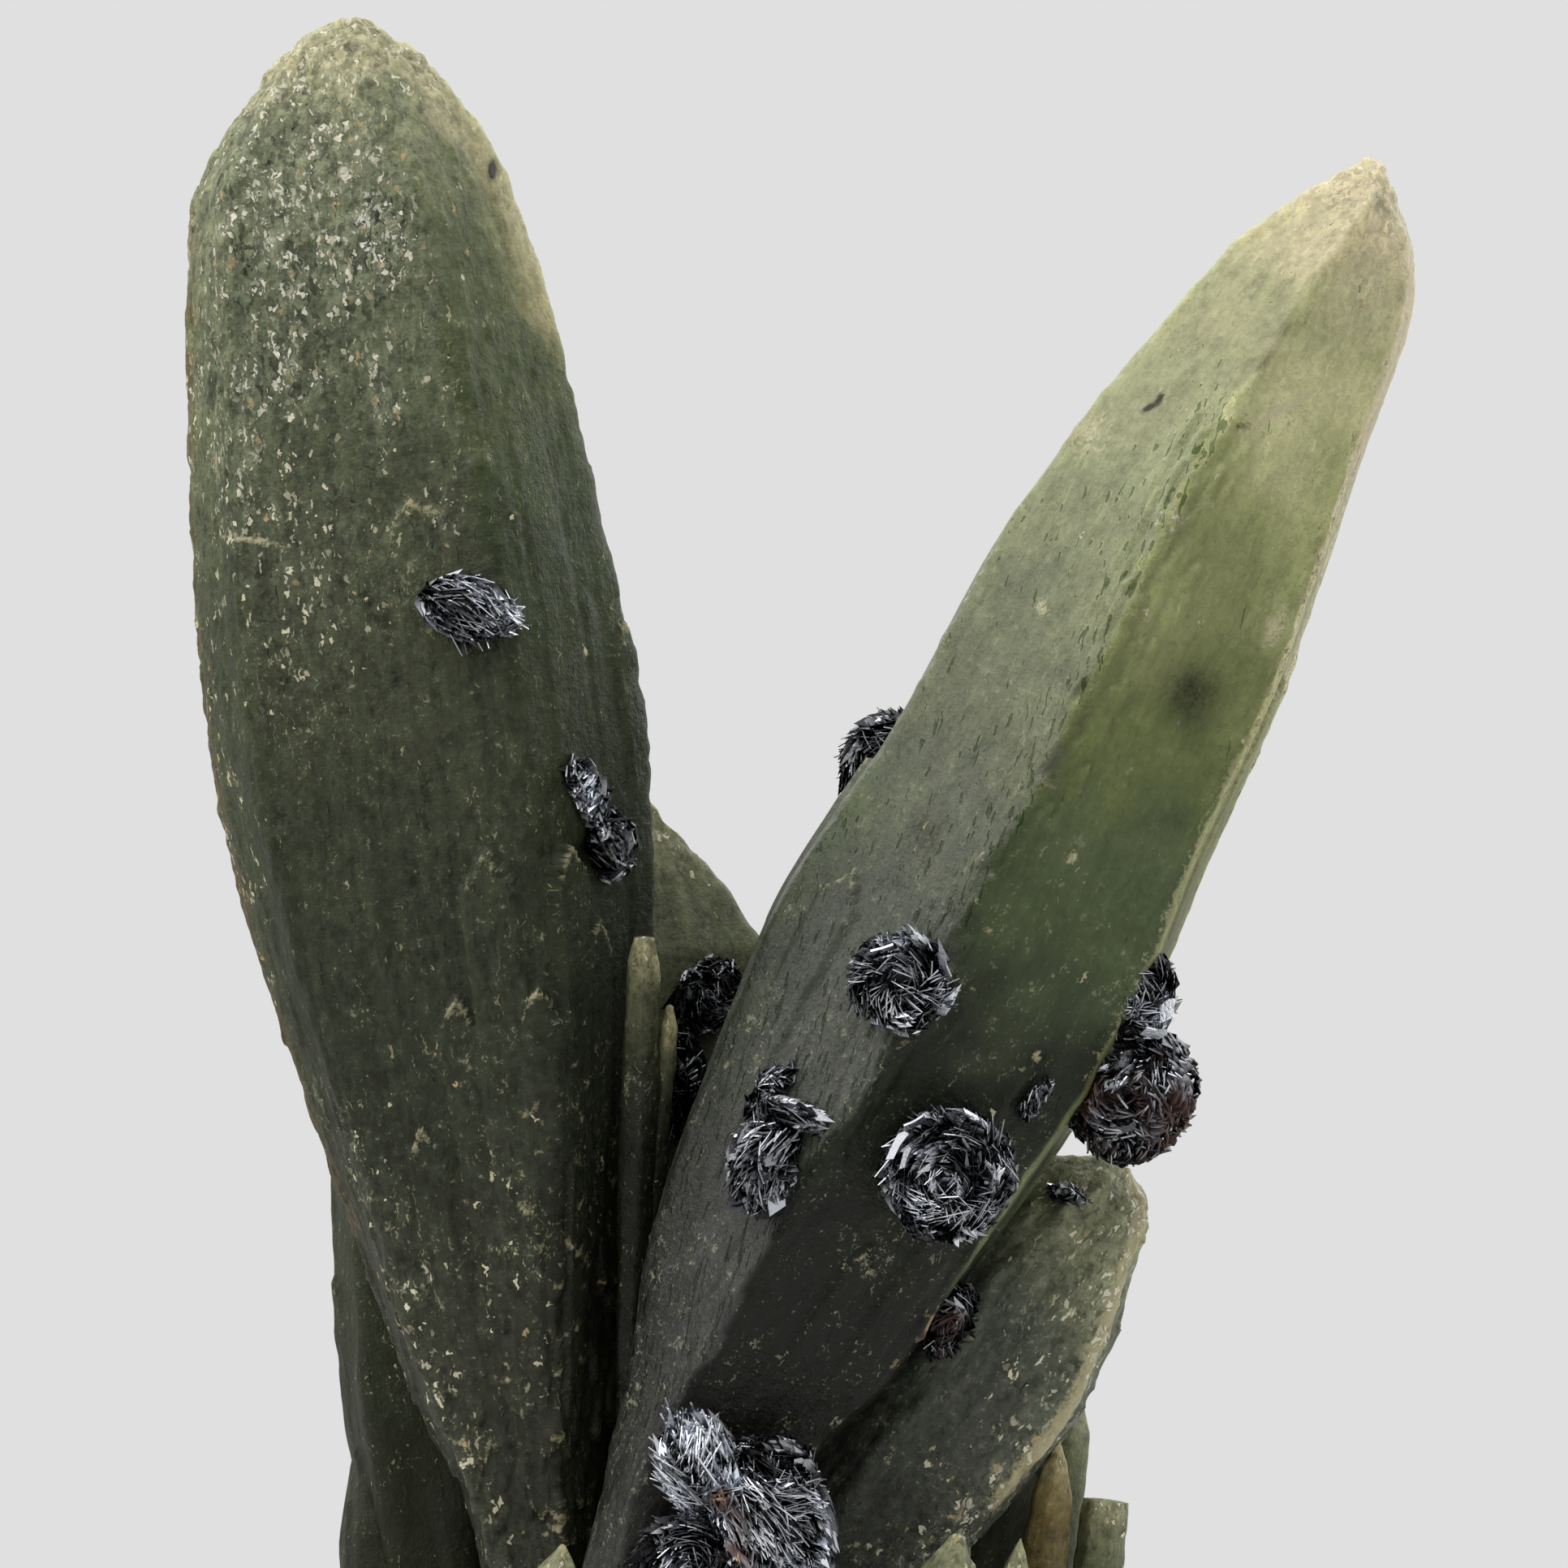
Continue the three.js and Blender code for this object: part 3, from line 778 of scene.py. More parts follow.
@dataclass(frozen=True)
class Face:
    """One mark all over a face, between two shares of the crystal's length.

    Attributes:
        mark: What the face carries.
        side: The face, by the edge that it starts from.
        span: The shares of the length between which it runs.
        strength: Its strength.
        fray: How far laths shift its borders to and fro, in mm.
    """

    mark: Mark
    side: int
    span: Pair
    strength: float = 1.0
    fray: float = 0.0


def ramped(share: np.ndarray, span: Pair, soft: float) -> np.ndarray:
    """A strength of 1 between two shares of a length that fades out softly at both."""
    return np.clip((share - span[0]) / soft, 0, 1) * np.clip((span[1] - share) / soft, 0, 1)


class Skin:
    """A crystal's surface unrolled: rows run from root to tip and columns go round."""

    # How far up the ramp a thin edge's colour is moved, as a share of its length: a painted glow of light
    # through the thin edge.
    THIN_EDGE_GLOW_REACH = 0.2
    # Width over which a lath's side rises from the face, in mm.
    SIDE = 0.28
    # Length of a named lath's point, in mm.
    POINT = 2.4
    # Shares of the length over which a margin and a marked face fade out.
    MARGIN_FADE = 0.05
    FACE_FADE = 0.12
    # Which noise fields sway a lath's sides, notch its end and shift a face's borders.
    SWAY_FIELD, TEETH_FIELD, FRAY_FIELD = 3, 4, 31

    def __init__(
        self, base: np.ndarray, grain: np.ndarray, along: np.ndarray, corners: Sequence[int], spacing: float
    ) -> None:
        """Starts a smooth surface without marks.

        Args:
            base: Places in mm, by row and column.
            grain: The same places measured across, away and along the crystal's own axis.
            along: How far up the axis each row is, in mm.
            corners: The column of each edge of the crystal.
            spacing: Distance between the rows, in mm.
        """
        self.base = base
        self.along = along
        self.corners = list(corners)
        self.spacing = spacing
        self.rows, self.columns = base.shape[:2]
        down_axis = np.gradient(base, axis=0)
        around = (np.roll(base, -1, axis=1) - np.roll(base, 1, axis=1)) / 2
        self.pitch = np.maximum(np.linalg.norm(around, axis=-1), 0.02)
        normal = unit(np.cross(around, down_axis))
        outward = base - base.mean(axis=1, keepdims=True)
        self.normal = normal if (normal * outward).sum() > 0 else -normal
        widest = self.pitch[int(self.pitch.sum(axis=1).argmax())]
        self.round = np.concatenate([[0.0], np.cumsum(widest)[:-1]])
        self.girth = float(widest.sum())
        self.grain = grain
        self.height = np.zeros(base.shape[:2])
        self.marks = {mark: np.zeros(base.shape[:2]) for mark in Mark}

    def share(self) -> np.ndarray:
        """Each row's share of the length."""
        return (self.along - self.along[0]) / (self.along[-1] - self.along[0])

    def raise_lath(
        self, row: int, column: int, half: float, length: float, rise: float, toward: Toward, rim: float,
        point: float,
    ) -> None:
        """Lifts one lath out of the surface.

        Args:
            row: Row of its free end.
            column: Column of its middle.
            half: Half its width.
            length: How far back from its free end it runs out.
            rise: Height of its free end.
            toward: Which way the free end points.
            rim: How pale the free end is.
            point: Length of its pointed end.
        """
        reach = int(length / self.spacing) + 2
        first, last = (row - reach, row + 1) if toward is Toward.TIP else (row - 1, row + reach)
        rows = np.arange(max(first, 0), min(last, self.rows))
        if len(rows) == 0:
            return
        pitch = self.pitch[min(max(row, 0), self.rows - 1), column]
        wide = int(half / pitch) + 2
        if 2 * wide >= self.columns:
            return
        columns = np.arange(column - wide, column + wide + 1)
        back = ((row - rows) * self.spacing * toward.value)[:, None]
        # A narrow flake's sides wander quickly and a broad lath's slowly.
        slow = min(0.8, 0.4 / half)
        run = np.stack([rows * self.spacing * slow, 0 * rows + column * 0.37, 0 * rows], axis=-1)
        sway = noise(run, self.SWAY_FIELD, 2)[:, None] * min(0.3, 0.14 / half)
        off = np.abs((columns - column)[None, :] * pitch / half + sway) * (1 + np.roll(sway, 3))
        place = np.stack([columns * pitch * 2.3, 0 * columns + row * 0.31, 0 * columns], axis=-1)
        teeth = noise(place, self.TEETH_FIELD)[None, :]
        # The free end is a point with small teeth. The body dies away behind it.
        edge = point * off**1.4 + 0.3 * min(half, 0.9) * teeth
        body = np.clip((length - back) / length, 0, 1) ** 0.6
        side = np.clip((1 - off) * half / self.SIDE, 0, 1)
        inside = back >= edge
        window = np.ix_(rows, columns % self.columns)
        self.height[window] = np.maximum(self.height[window], rise * body * side * inside)
        # The free end's lip is pale, and the wider the lath the wider its lip.
        lip = np.clip(1.2 - (back - edge) / (0.2 + 0.5 * half), 0, 1) * inside * np.clip(1.15 - off, 0, 1)
        self.marks[Mark.RIM][window] = np.maximum(self.marks[Mark.RIM][window], lip * rim)

    def scatter(self, scales: Scales, rng: np.random.Generator) -> None:
        """Lifts many laths at random places.

        Args:
            scales: What they are like.
            rng: The source of the random places.
        """
        for _ in range(scales.count):
            place = scales.span[0] + (scales.span[1] - scales.span[0]) * rng.random()
            row = int(place * (self.rows - 1))
            if scales.corner is None:
                column = int(np.searchsorted(self.round, rng.random() * self.girth)) % self.columns
            else:
                middle = self.corners[scales.corner]
                column = int(middle + rng.normal(0, scales.spread) / self.pitch[row, middle]) % self.columns
            half = rng.uniform(*scales.half)
            length = rng.uniform(*scales.length)
            rise = rng.uniform(*scales.rise)
            rim = scales.rim * rng.random() ** 1.4
            self.raise_lath(row, column, half, length, rise, scales.toward, rim, half * rng.uniform(0.8, 2.2))

    def place_lath(self, lath: Lath) -> None:
        """Lifts one named lath on its face.

        Args:
            lath: Its place and size.
        """
        start = self.corners[lath.side]
        end = self.corners[(lath.side + 1) % len(self.corners)]
        end = end if end > start else end + self.columns
        column = int(round(start + lath.across * (end - start))) % self.columns
        row = int(lath.end * (self.rows - 1))
        length = (lath.end - lath.start) * (self.along[-1] - self.along[0])
        self.raise_lath(row, column, lath.half, length, lath.proud, Toward.TIP, lath.rim, self.POINT)

    def add_patch(self, patch: Patch) -> None:
        """Adds a soft patch to the faces that look to the front, or to the back.

        Args:
            patch: Its place and size.
        """
        lean = math.radians(patch.lean)
        dx, dz = self.base[..., 0] - patch.x, self.base[..., 2] - patch.z
        across = (dx * math.cos(lean) - dz * math.sin(lean)) / patch.half_across
        along = (dx * math.sin(lean) + dz * math.cos(lean)) / patch.half_along
        seen = (self.normal[..., 1] > 0) == patch.behind
        soft = np.exp(-(across**2) - along**2) * patch.strength * seen
        self.marks[patch.mark] = np.maximum(self.marks[patch.mark], soft)

    def add_margin(self, margin: Margin) -> None:
        """Adds a soft band along an edge.

        Args:
            margin: Its place and size.
        """
        column = self.corners[margin.corner]
        steps = (np.arange(self.columns) - column + self.columns // 2) % self.columns - self.columns // 2
        away = steps[None, :] * self.pitch
        held = ramped(self.share()[:, None], margin.span, self.MARGIN_FADE)
        soft = np.exp(-((away / margin.width) ** 2)) * held * margin.strength
        soft = soft * (away * margin.side >= 0)
        self.marks[margin.mark] = np.maximum(self.marks[margin.mark], soft)

    def add_face(self, face: Face) -> None:
        """Adds a mark all over a face, softening at its ends and fraying at its borders.

        Args:
            face: Which face and how strongly.
        """
        corner = (face.side, (face.side + 1) % len(self.corners))
        start, stop = self.corners[corner[0]], self.corners[corner[1]]
        count = (stop - start) % self.columns
        beyond = min(int(1.5 * face.fray / self.spacing) + 1, count // 2)
        order = np.arange(-beyond, count + beyond)
        columns = (start + order) % self.columns
        shifts = []
        for number in corner:
            place = np.stack([0 * self.along + 7.3 * number, 0 * self.along, 0.35 * self.along], axis=-1)
            shifts.append(face.fray * np.round(3 * noise(place, self.FRAY_FIELD, 2))[:, None] / 3)
        pitch = self.pitch[:, columns]
        near = np.minimum(order * pitch - shifts[0], (count - order) * pitch + shifts[1])
        held = ramped(self.share()[:, None], face.span, self.FACE_FADE)
        held = held * face.strength * np.clip(near / 0.3 + 1, 0, 1)
        self.marks[face.mark][:, columns] = np.maximum(self.marks[face.mark][:, columns], held)

    def edge_closeness(self, width: float) -> np.ndarray:
        """How close each point is to an edge of the crystal.

        Args:
            width: How far from an edge the closeness reaches, in mm.

        Returns:
            1 on an edge, 0 on a face.
        """
        close = np.zeros(self.height.shape)
        for column in self.corners:
            steps = np.arange(self.columns) - column
            steps = np.minimum(np.abs(steps), self.columns - np.abs(steps))
            close = np.maximum(close, np.exp(-((steps[None, :] * self.pitch / width) ** 2)))
        return close

    def channels(self) -> dict[str, np.ndarray]:
        """The mesh's attributes: the grain and every mark in the channel that it names.

        Returns:
            Three numbers for each row and column, by the attribute's name.
        """
        made = {"grain": self.grain}
        for mark, values in self.marks.items():
            key, channel = mark.value
            if key not in made:
                made[key] = np.zeros((self.rows, self.columns, 3))
            made[key][..., channel] = values
        # Painted glow: thin edges take colours from higher up the ramp.
        made["growth"][..., 0] = self.share()[:, None] + self.THIN_EDGE_GLOW_REACH * self.marks[Mark.THIN]
        return made

    def build(self, name: str, floor: float) -> bpy.types.Object:
        """Makes the closed mesh.

        Args:
            name: The piece's name.
            floor: Height that no point goes under.

        Returns:
            The object, with its attributes.
        """
        body = self.base + self.normal * self.height[..., None]
        ends = [body[0].mean(axis=0), body[-1].mean(axis=0) + unit(body[-1] - body[-2]).mean(axis=0) * 0.1]
        points = np.vstack([body.reshape(-1, 3), ends])
        points[:, 2] = np.maximum(points[:, 2], floor)
        grid = np.arange(self.rows * self.columns).reshape(self.rows, self.columns)
        right = np.roll(grid, -1, axis=1)
        quads = np.stack([grid[:-1], right[:-1], right[1:], grid[1:]], axis=-1).reshape(-1, 4)
        low, high = len(points) - 2, len(points) - 1
        faces = quads.tolist()
        faces += [[right[0, k], grid[0, k], low] for k in range(self.columns)]
        faces += [[grid[-1, k], right[-1, k], high] for k in range(self.columns)]
        a, b, c = points[quads[0]][:3]
        if np.dot(np.cross(b - a, c - a), a - body[0].mean(axis=0)) < 0:
            faces = [face[::-1] for face in faces]
        attributes = {key: self.with_ends(values) for key, values in self.channels().items()}
        return make_object(name, points, faces, attributes)

    @staticmethod
    def with_ends(values: np.ndarray) -> np.ndarray:
        """The values by point, with the two end points last."""
        flat = values.reshape(-1, values.shape[-1])
        return np.vstack([flat, values[0].mean(axis=0), values[-1].mean(axis=0)])


# Crystals


@dataclass
class Crystal:
    """One quartz crystal, grown along its own axis.

    Attributes:
        name: The piece's name.
        root: Where its axis starts.
        tip: Where its axis ends.
        finish: Its material's recipe.
        spacing: Distance between the points of its mesh.
        rounding: How far its edges are softened.
        swell: Height of the slow waves on its faces.
        ribs: Height of the ribs along its faces.
        druse: Height of the small points at its tip.
        druse_from: Share of the length where they start.
        wear: How ragged its edges are.
        back_stretch: How much coarser its mesh is behind.
        seed: The start of its random draws.
        laths: Its named laths.
        scales: Its scattered laths.
        patches: Its soft patches.
        margins: The bands along its edges.
        faces: The marks that cover a face.
    """

    name: str
    root: Triple
    tip: Triple
    finish: PraseFinish
    spacing: float = 0.4
    rounding: float = 0.35
    swell: float = 0.1
    ribs: float = 0.05
    druse: float = 0.15
    druse_from: float = 0.9
    wear: float = 0.07
    back_stretch: float = 1.0
    seed: int = 1
    laths: tuple[Lath, ...] = ()
    scales: tuple[Scales, ...] = ()
    patches: tuple[Patch, ...] = ()
    margins: tuple[Margin, ...] = ()
    faces: tuple[Face, ...] = ()

    # A crystal more upright than this has its foot cut by sliding it up its axis; the slide fades
    # out over so many mm.
    STEEP, FOOT = 0.7, 12.0
    # Grains in a millimetre across, away and along: slow waves, ribs, druse points, small points and chips.
    WAVES, RIBBING = (0.12, 0.12, 0.07), (1.3, 1.3, 0.16)
    POINTS, SMALL_POINTS, CHIPS = (1.5, 1.5, 1.15), (2.6, 2.6, 1.9), (0.9, 0.9, 0.75)
    # How far from an edge it's chipped, in mm.
    CHIPPED = 0.9

    def corners(self, share: np.ndarray) -> np.ndarray:
        """The six edges at each share of the length.

        Args:
            share: Shares of the length.

        Returns:
            Distances across and away from the axis, by row and edge.
        """
        raise NotImplementedError

    def axes(self) -> tuple[np.ndarray, np.ndarray, np.ndarray, float]:
        """The directions across, away and up the axis, and its length."""
        line = np.subtract(self.tip, self.root)
        length = float(np.linalg.norm(line))
        up = line / length
        across = unit(np.cross((0.0, 1.0, 0.0), up))
        return across, np.cross(up, across), up, length

    def unroll(self) -> Skin:
        """Lays out the smooth surface.

        Returns:
            The surface without relief or marks.
        """
        across, away, up, length = self.axes()
        rows = max(int(length / self.spacing), 8)
        share = np.linspace(0, 1, rows)
        edges = self.corners(share)
        sides = np.linalg.norm(np.roll(edges, -1, axis=1) - edges, axis=-1).max(axis=0)
        middle = (edges + np.roll(edges, -1, axis=1)).mean(axis=0)[:, 1] / 2
        stretch = np.where(middle > 0, self.back_stretch, 1.0)
        counts = np.maximum(np.round(sides / (self.spacing * stretch)).astype(int), 3)
        parts = []
        for k, count in enumerate(counts):
            t = (np.arange(count) / count)[None, :, None]
            parts.append(edges[:, k, None] * (1 - t) + np.roll(edges, -1, axis=1)[:, k, None] * t)
        ring = rounded(np.concatenate(parts, axis=1), max(self.rounding / self.spacing, 0.35))
        along = np.broadcast_to((share * length)[:, None], ring.shape[:2]).copy()
        origin = np.array(self.root, float)
        if self.slides():
            low = origin[2] + across[2] * ring[0, :, 0] + away[2] * ring[0, :, 1]
            fade = np.clip(1 - share * length / self.FOOT, 0, 1)[:, None]
            along += fade * (-low / up[2])[None, :]
        base = origin + along[..., None] * up + ring[..., :1] * across + ring[..., 1:] * away
        starts = np.concatenate([[0], np.cumsum(counts)[:-1]])
        grain = np.concatenate([ring, along[..., None]], axis=-1)
        return Skin(base, grain, share * length, starts.tolist(), length / (rows - 1))

    def slides(self) -> bool:
        """Whether its foot is cut by sliding it up a steep axis."""
        up = self.axes()[2]
        return self.root[2] <= 0 and up[2] > self.STEEP

    def grow(self, skin: Skin) -> None:
        """Adds the relief that every crystal has.

        Args:
            skin: The surface that gets it.
        """
        rng = np.random.default_rng(self.seed)
        for scales in self.scales:
            skin.scatter(scales, rng)
        for lath in self.laths:
            skin.place_lath(lath)
        for patch in self.patches:
            skin.add_patch(patch)
        for margin in self.margins:
            skin.add_margin(margin)
        for face in self.faces:
            skin.add_face(face)
        share = skin.share()[:, None]
        skin.height += self.swell * noise(skin.grain * self.WAVES, self.seed + 5, 2)
        ribbed = 1 - 0.6 * skin.marks[Mark.GREEN]
        skin.height += self.ribs * ribbed * noise(skin.grain * self.RIBBING, self.seed + 9, 2)
        top = np.clip((share - self.druse_from) / max(1 - self.druse_from, 0.01), 0, 1)
        crowd = np.maximum(top, skin.marks[Mark.CRUST] * 0.7)
        for size, seed, tall in ((self.POINTS, 13, 1.0), (self.SMALL_POINTS, 17, 0.55)):
            skin.height += tall * self.druse * crowd * (cones(skin.grain * size, self.seed + seed) - 0.5)
        chips = noise(skin.grain * self.CHIPS, self.seed + 21, 3)
        skin.height += self.wear * skin.edge_closeness(self.CHIPPED) * chips
        skin.marks[Mark.CRUST] = np.maximum(skin.marks[Mark.CRUST], 0.5 * top)

    def make(self, material: bpy.types.Material) -> bpy.types.Object:
        """Builds and dresses the crystal.

        Args:
            material: Its material.

        Returns:
            The object.
        """
        skin = self.unroll()
        self.grow(skin)
        made = skin.build(self.name, 0.0)
        made.data.materials.append(material)
        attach(made, "root")
        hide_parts("prase_crystals")
        LOG.info("%s: %d faces", self.name, len(made.data.polygons))
        return made


@dataclass
class TallCrystal(Crystal):
    """A crystal that swells and narrows along its length, after the photograph's outline.

    Attributes:
        half_width: Half its greatest width.
        half_depth: Half its greatest depth.
        section: Its edges, by which side they keep to and how far away they are.
        outline: Share of the length, then left, right, front edge and depth in shares of the halves.
    """

    half_width: float = 1.0
    half_depth: float = 1.0
    section: tuple[tuple[float | None, float], ...] = ()
    outline: tuple[tuple[float, ...], ...] = ()

    def corners(self, share: np.ndarray) -> np.ndarray:
        """The six edges at each share of the length."""
        left, right, edge, deep = eased(self.outline, share).T
        rows = []
        for side, depth in self.section:
            across = edge if side is None else side * (left if side < 0 else right)
            rows.append(np.stack([across * self.half_width, depth * deep * self.half_depth], axis=-1))
        return np.stack(rows, axis=1)


@dataclass
class PlainCrystal(Crystal):
    """A six-sided crystal with a blunt point.

    Attributes:
        half: Half its width and half its depth.
        turn: How far it is turned about its axis, in degrees.
        point: Length of its point.
        blunt: Size of its end as a share of its body.
    """

    half: Pair = (1.0, 1.0)
    turn: float = 0.0
    point: float = 3.0
    blunt: float = 0.1

    def corners(self, share: np.ndarray) -> np.ndarray:
        """The six edges at each share of the length."""
        length = self.axes()[3]
        shoulder = length - self.point
        places = [0, 0.65 * shoulder, shoulder, shoulder + 0.6 * self.point, length]
        sizes = [0.62, 1, 0.9, 0.42 + 0.5 * self.blunt, self.blunt]
        size = np.interp(share * length, places, sizes)
        angle = np.radians(np.arange(6) * 60 - 90 + self.turn)
        edges = np.stack([np.cos(angle) * self.half[0], np.sin(angle) * self.half[1]], axis=-1)
        return size[:, None, None] * edges[None]


@dataclass(frozen=True)
class Tier:
    """One ring of the burr's crystals.

    Attributes:
        count: How many crystals.
        start: Angle of the first, in degrees.
        stop: Angle that the next after the last would have.
        rise: Height of their tips.
        reach: How far out they lean, as a share of the burr's reach.
        half: Half their width.
        point: Length of their points.
    """

    count: int
    start: float
    stop: float
    rise: float
    reach: float
    half: float
    point: float


@dataclass(frozen=True)
class Burr:
    """The burr of short crystals that the whole cluster grew from.

    Attributes:
        finish: The crystals' finish.
        centre: Where they all start.
        reach: How far out they lean to the right and away.
        uneven: How uneven their turn, reach, height and width are.
        tiers: The rings, lowest first.
    """

    finish: PraseFinish
    centre: Triple = (0.0, 2.5, -1.0)
    reach: Pair = (18.5, 15.5)
    uneven: tuple[float, float, float, float] = (0.25, 0.1, 0.15, 0.1)
    tiers: tuple[Tier, ...] = (
        Tier(9, 0, 360, 7.5, 1, 5.4, 5),
        Tier(7, 14, 374, 12.5, 0.84, 3.9, 4),
        Tier(3, 20, 160, 19, 0.82, 3.3, 4),
    )

    def crystal(self, number: int, i: int) -> PlainCrystal:
        """One crystal of a ring, a little off the even place and size.

        Args:
            number: Which ring.
            i: Which crystal of the ring.

        Returns:
            The crystal.
        """
        tier = self.tiers[number]
        turn, less, lift, wide = self.uneven
        # Steady unevenness from -1 to 1.
        placed, raised, widened = (math.sin(step * i + 2.3 * number) for step in (5.1, 3.7, 2.9))
        angle = math.radians(tier.start + (tier.stop - tier.start) * (i + turn * placed) / tier.count)
        far = tier.reach * (1 - less + less * placed)
        half = tier.half * (1 + wide * widened)
        tip = (
            self.centre[0] + math.cos(angle) * self.reach[0] * far,
            self.centre[1] + math.sin(angle) * self.reach[1] * far,
            tier.rise * (1 + lift * raised),
        )
        return PlainCrystal(
            f"burr_{number}_{i}", self.centre, tip, self.finish, spacing=0.5, swell=0.25, ribs=0.1,
            druse=0.25, druse_from=0.75, seed=400 + 20 * number + i, half=(half, 0.88 * half),
            turn=40 * i, point=tier.point,
            scales=(Scales(50, (0.3, 0.95), (1, 4), (0.3, 0.9), (0.08, 0.3), Toward.TIP, 0.35),),
        )

    def crystals(self) -> list[PlainCrystal]:
        """The crystals of every ring, lowest ring first."""
        return [self.crystal(number, i) for number, tier in enumerate(self.tiers) for i in range(tier.count)]


# Hematite


@dataclass(frozen=True)
class Lump:
    """One rounded lump of a rose.

    Attributes:
        at: Its middle.
        half: Half its size along, through and across.
        along: The direction of its length, in the plane of X and Z.
        habit: How its plates lie.
        lay: Direction of the plates for a sheaf, or the point a fan spreads from.
        plate: Length, width and thickness of a plate.
        poke: How far the plates' ends stand out of the lump.
        rust: How rusty it is.
        shine: How much brighter its plates are; lumps behind, under or between crystals have less, as painted
            shade.
    """

    at: Triple
    half: Triple
    along: Triple
    habit: Habit = Habit.BALL
    lay: Triple = (0.0, -1.0, 0.0)
    plate: Triple = (1.3, 0.5, 0.05)
    poke: float = 1.15
    rust: float = 0.0
    shine: float = 0.0

    # A plate's outline, in halves of its length and width.
    SHARD = ((-1, -0.3), (-0.45, 0.8), (0.4, 0.6), (1.3, 0.0), (0.2, -0.9))
    # Plates to a square millimetre.
    CROWD = 11.0
    # How deep a plate sits in the lump, as a share of its length.
    SUNK = 0.28
    # Size of the dark core as a share of the lump, and how rough it is.
    CORE, ROUGH = 0.66, 0.07
    # How far a bundle of plates leans at most, in radians.
    LEAN = 1.1
    # How far a plate's place, its choice of bundle, its turn and its lean stray, as standard deviations.
    STRAY_PLACE, STRAY_BUNDLE, STRAY_TURN, STRAY_LEAN = 0.04, 0.06, 0.16, 0.22
    # How deep the deepest bundle sits, as a share of the lump's least half size.
    NOTCH = 0.24

    def frame(self) -> np.ndarray:
        """Its three half axes as columns."""
        x = unit(np.array(self.along, float))
        z = unit(np.cross(x, (0.0, 1.0, 0.0)))
        return np.stack([x * self.half[0], np.cross(z, x) * self.half[1], z * self.half[2]], axis=1)

    def spots(self, rng: np.random.Generator) -> tuple[np.ndarray, np.ndarray]:
        """Even, slightly shaken places on the lump.

        Args:
            rng: The source of the random draws.

        Returns:
            The places and the outward directions there.
        """
        axes = self.frame()
        a, b, c = self.half
        # An ellipsoid's area to within 1 percent.
        area = 4 * math.pi * (((a * b) ** 1.6 + (a * c) ** 1.6 + (b * c) ** 1.6) / 3) ** (1 / 1.6)
        count = int(area * self.CROWD)
        k = np.arange(count) + 0.5
        height = 1 - 2 * k / count
        # Each place is turned by the golden ratio from the last, which spreads them evenly.
        angle = math.pi * (1 + 5**0.5) * k
        flat = np.sqrt(1 - height**2)
        ball = np.stack([flat * np.cos(angle), flat * np.sin(angle), height], axis=-1)
        ball = unit(ball + rng.normal(0, self.STRAY_PLACE, ball.shape))
        return np.array(self.at) + ball @ axes.T, unit(ball @ np.linalg.inv(axes))

    def streaks(
        self, places: np.ndarray, outward: np.ndarray, rng: np.random.Generator
    ) -> tuple[np.ndarray, np.ndarray, np.ndarray, np.ndarray]:
        """How the plates lie: they grow in bundles of parallel plates, each turned its own way.

        Args:
            places: Where the plates are.
            outward: The outward directions there.
            rng: The source of the random draws.

        Returns:
            For each plate its direction along the surface, its lean, how deep it sits and its
            bundle's brightness.
        """
        lay = np.array(self.lay, float)
        if self.habit is Habit.BALL:
            flow = np.cross(lay, outward)
        elif self.habit is Habit.FAN:
            flow = places - lay
        else:
            flow = np.broadcast_to(lay, places.shape)
        flow = unit(flow - (flow * outward).sum(axis=1, keepdims=True) * outward)
        count = max(14, len(places) // 16)
        bundles = unit(rng.normal(0, 1, (count, 3)))
        shaken = unit(outward + rng.normal(0, self.STRAY_BUNDLE, outward.shape))
        owner = (shaken @ bundles.T).argmax(axis=1)
        spread = 0.7 if self.habit is Habit.BALL else 0.3
        turn = rng.normal(0, spread, count)[owner] + rng.normal(0, self.STRAY_TURN, len(places))
        lean = rng.uniform(-self.LEAN, self.LEAN, count)[owner]
        lean = lean + rng.normal(0, self.STRAY_LEAN, len(places))
        depth = (rng.random(count) ** 2)[owner] * self.NOTCH * min(self.half)
        light = rng.random(count)[owner]
        side = np.cross(outward, flow)
        streak = flow * np.cos(turn)[:, None] + side * np.sin(turn)[:, None]
        return streak, lean[:, None], depth[:, None], light

    def plates(self, rng: np.random.Generator) -> Shell:
        """The plates standing and leaning all over the lump.

        Args:
            rng: The source of the random draws.

        Returns:
            Points, faces and, for each point, how far out it is, its plate's own number and its rust.
        """
        places, outward = self.spots(rng)
        streak, lean, deep, light = self.streaks(places, outward, rng)
        count = len(places)
        streak = unit(streak + outward * self.poke * rng.uniform(0.1, 1.9, (count, 1)))
        stand = unit(outward * np.cos(lean) + np.cross(outward, streak) * np.sin(lean))
        streak = unit(streak - (streak * stand).sum(axis=1, keepdims=True) * stand)
        flat = np.cross(streak, stand)
        size = rng.uniform(0.45, 1.0, (count, 1, 1)) + 0.6 * rng.random((count, 1, 1)) ** 5
        wide = rng.uniform(0.5, 1.7, (count, 1, 1))
        sides = len(self.SHARD)
        corners = np.array(self.SHARD)[None] * rng.uniform(0.65, 1.25, (count, sides, 2))
        sunk = deep + self.plate[0] * self.SUNK * rng.uniform(0.7, 1.3, (count, 1))
        body = (
            (places - outward * sunk)[:, None]
            + corners[..., :1] * size * (self.plate[0] / 2) * streak[:, None]
            + corners[..., 1:] * size * wide * (self.plate[1] / 2) * stand[:, None]
        )
        thick = rng.uniform(0.6, 1.3, (count, 1, 1)) * self.plate[2] / 2 * flat[:, None]
        points = np.stack([body + thick, body - thick], axis=1).reshape(-1, 3)
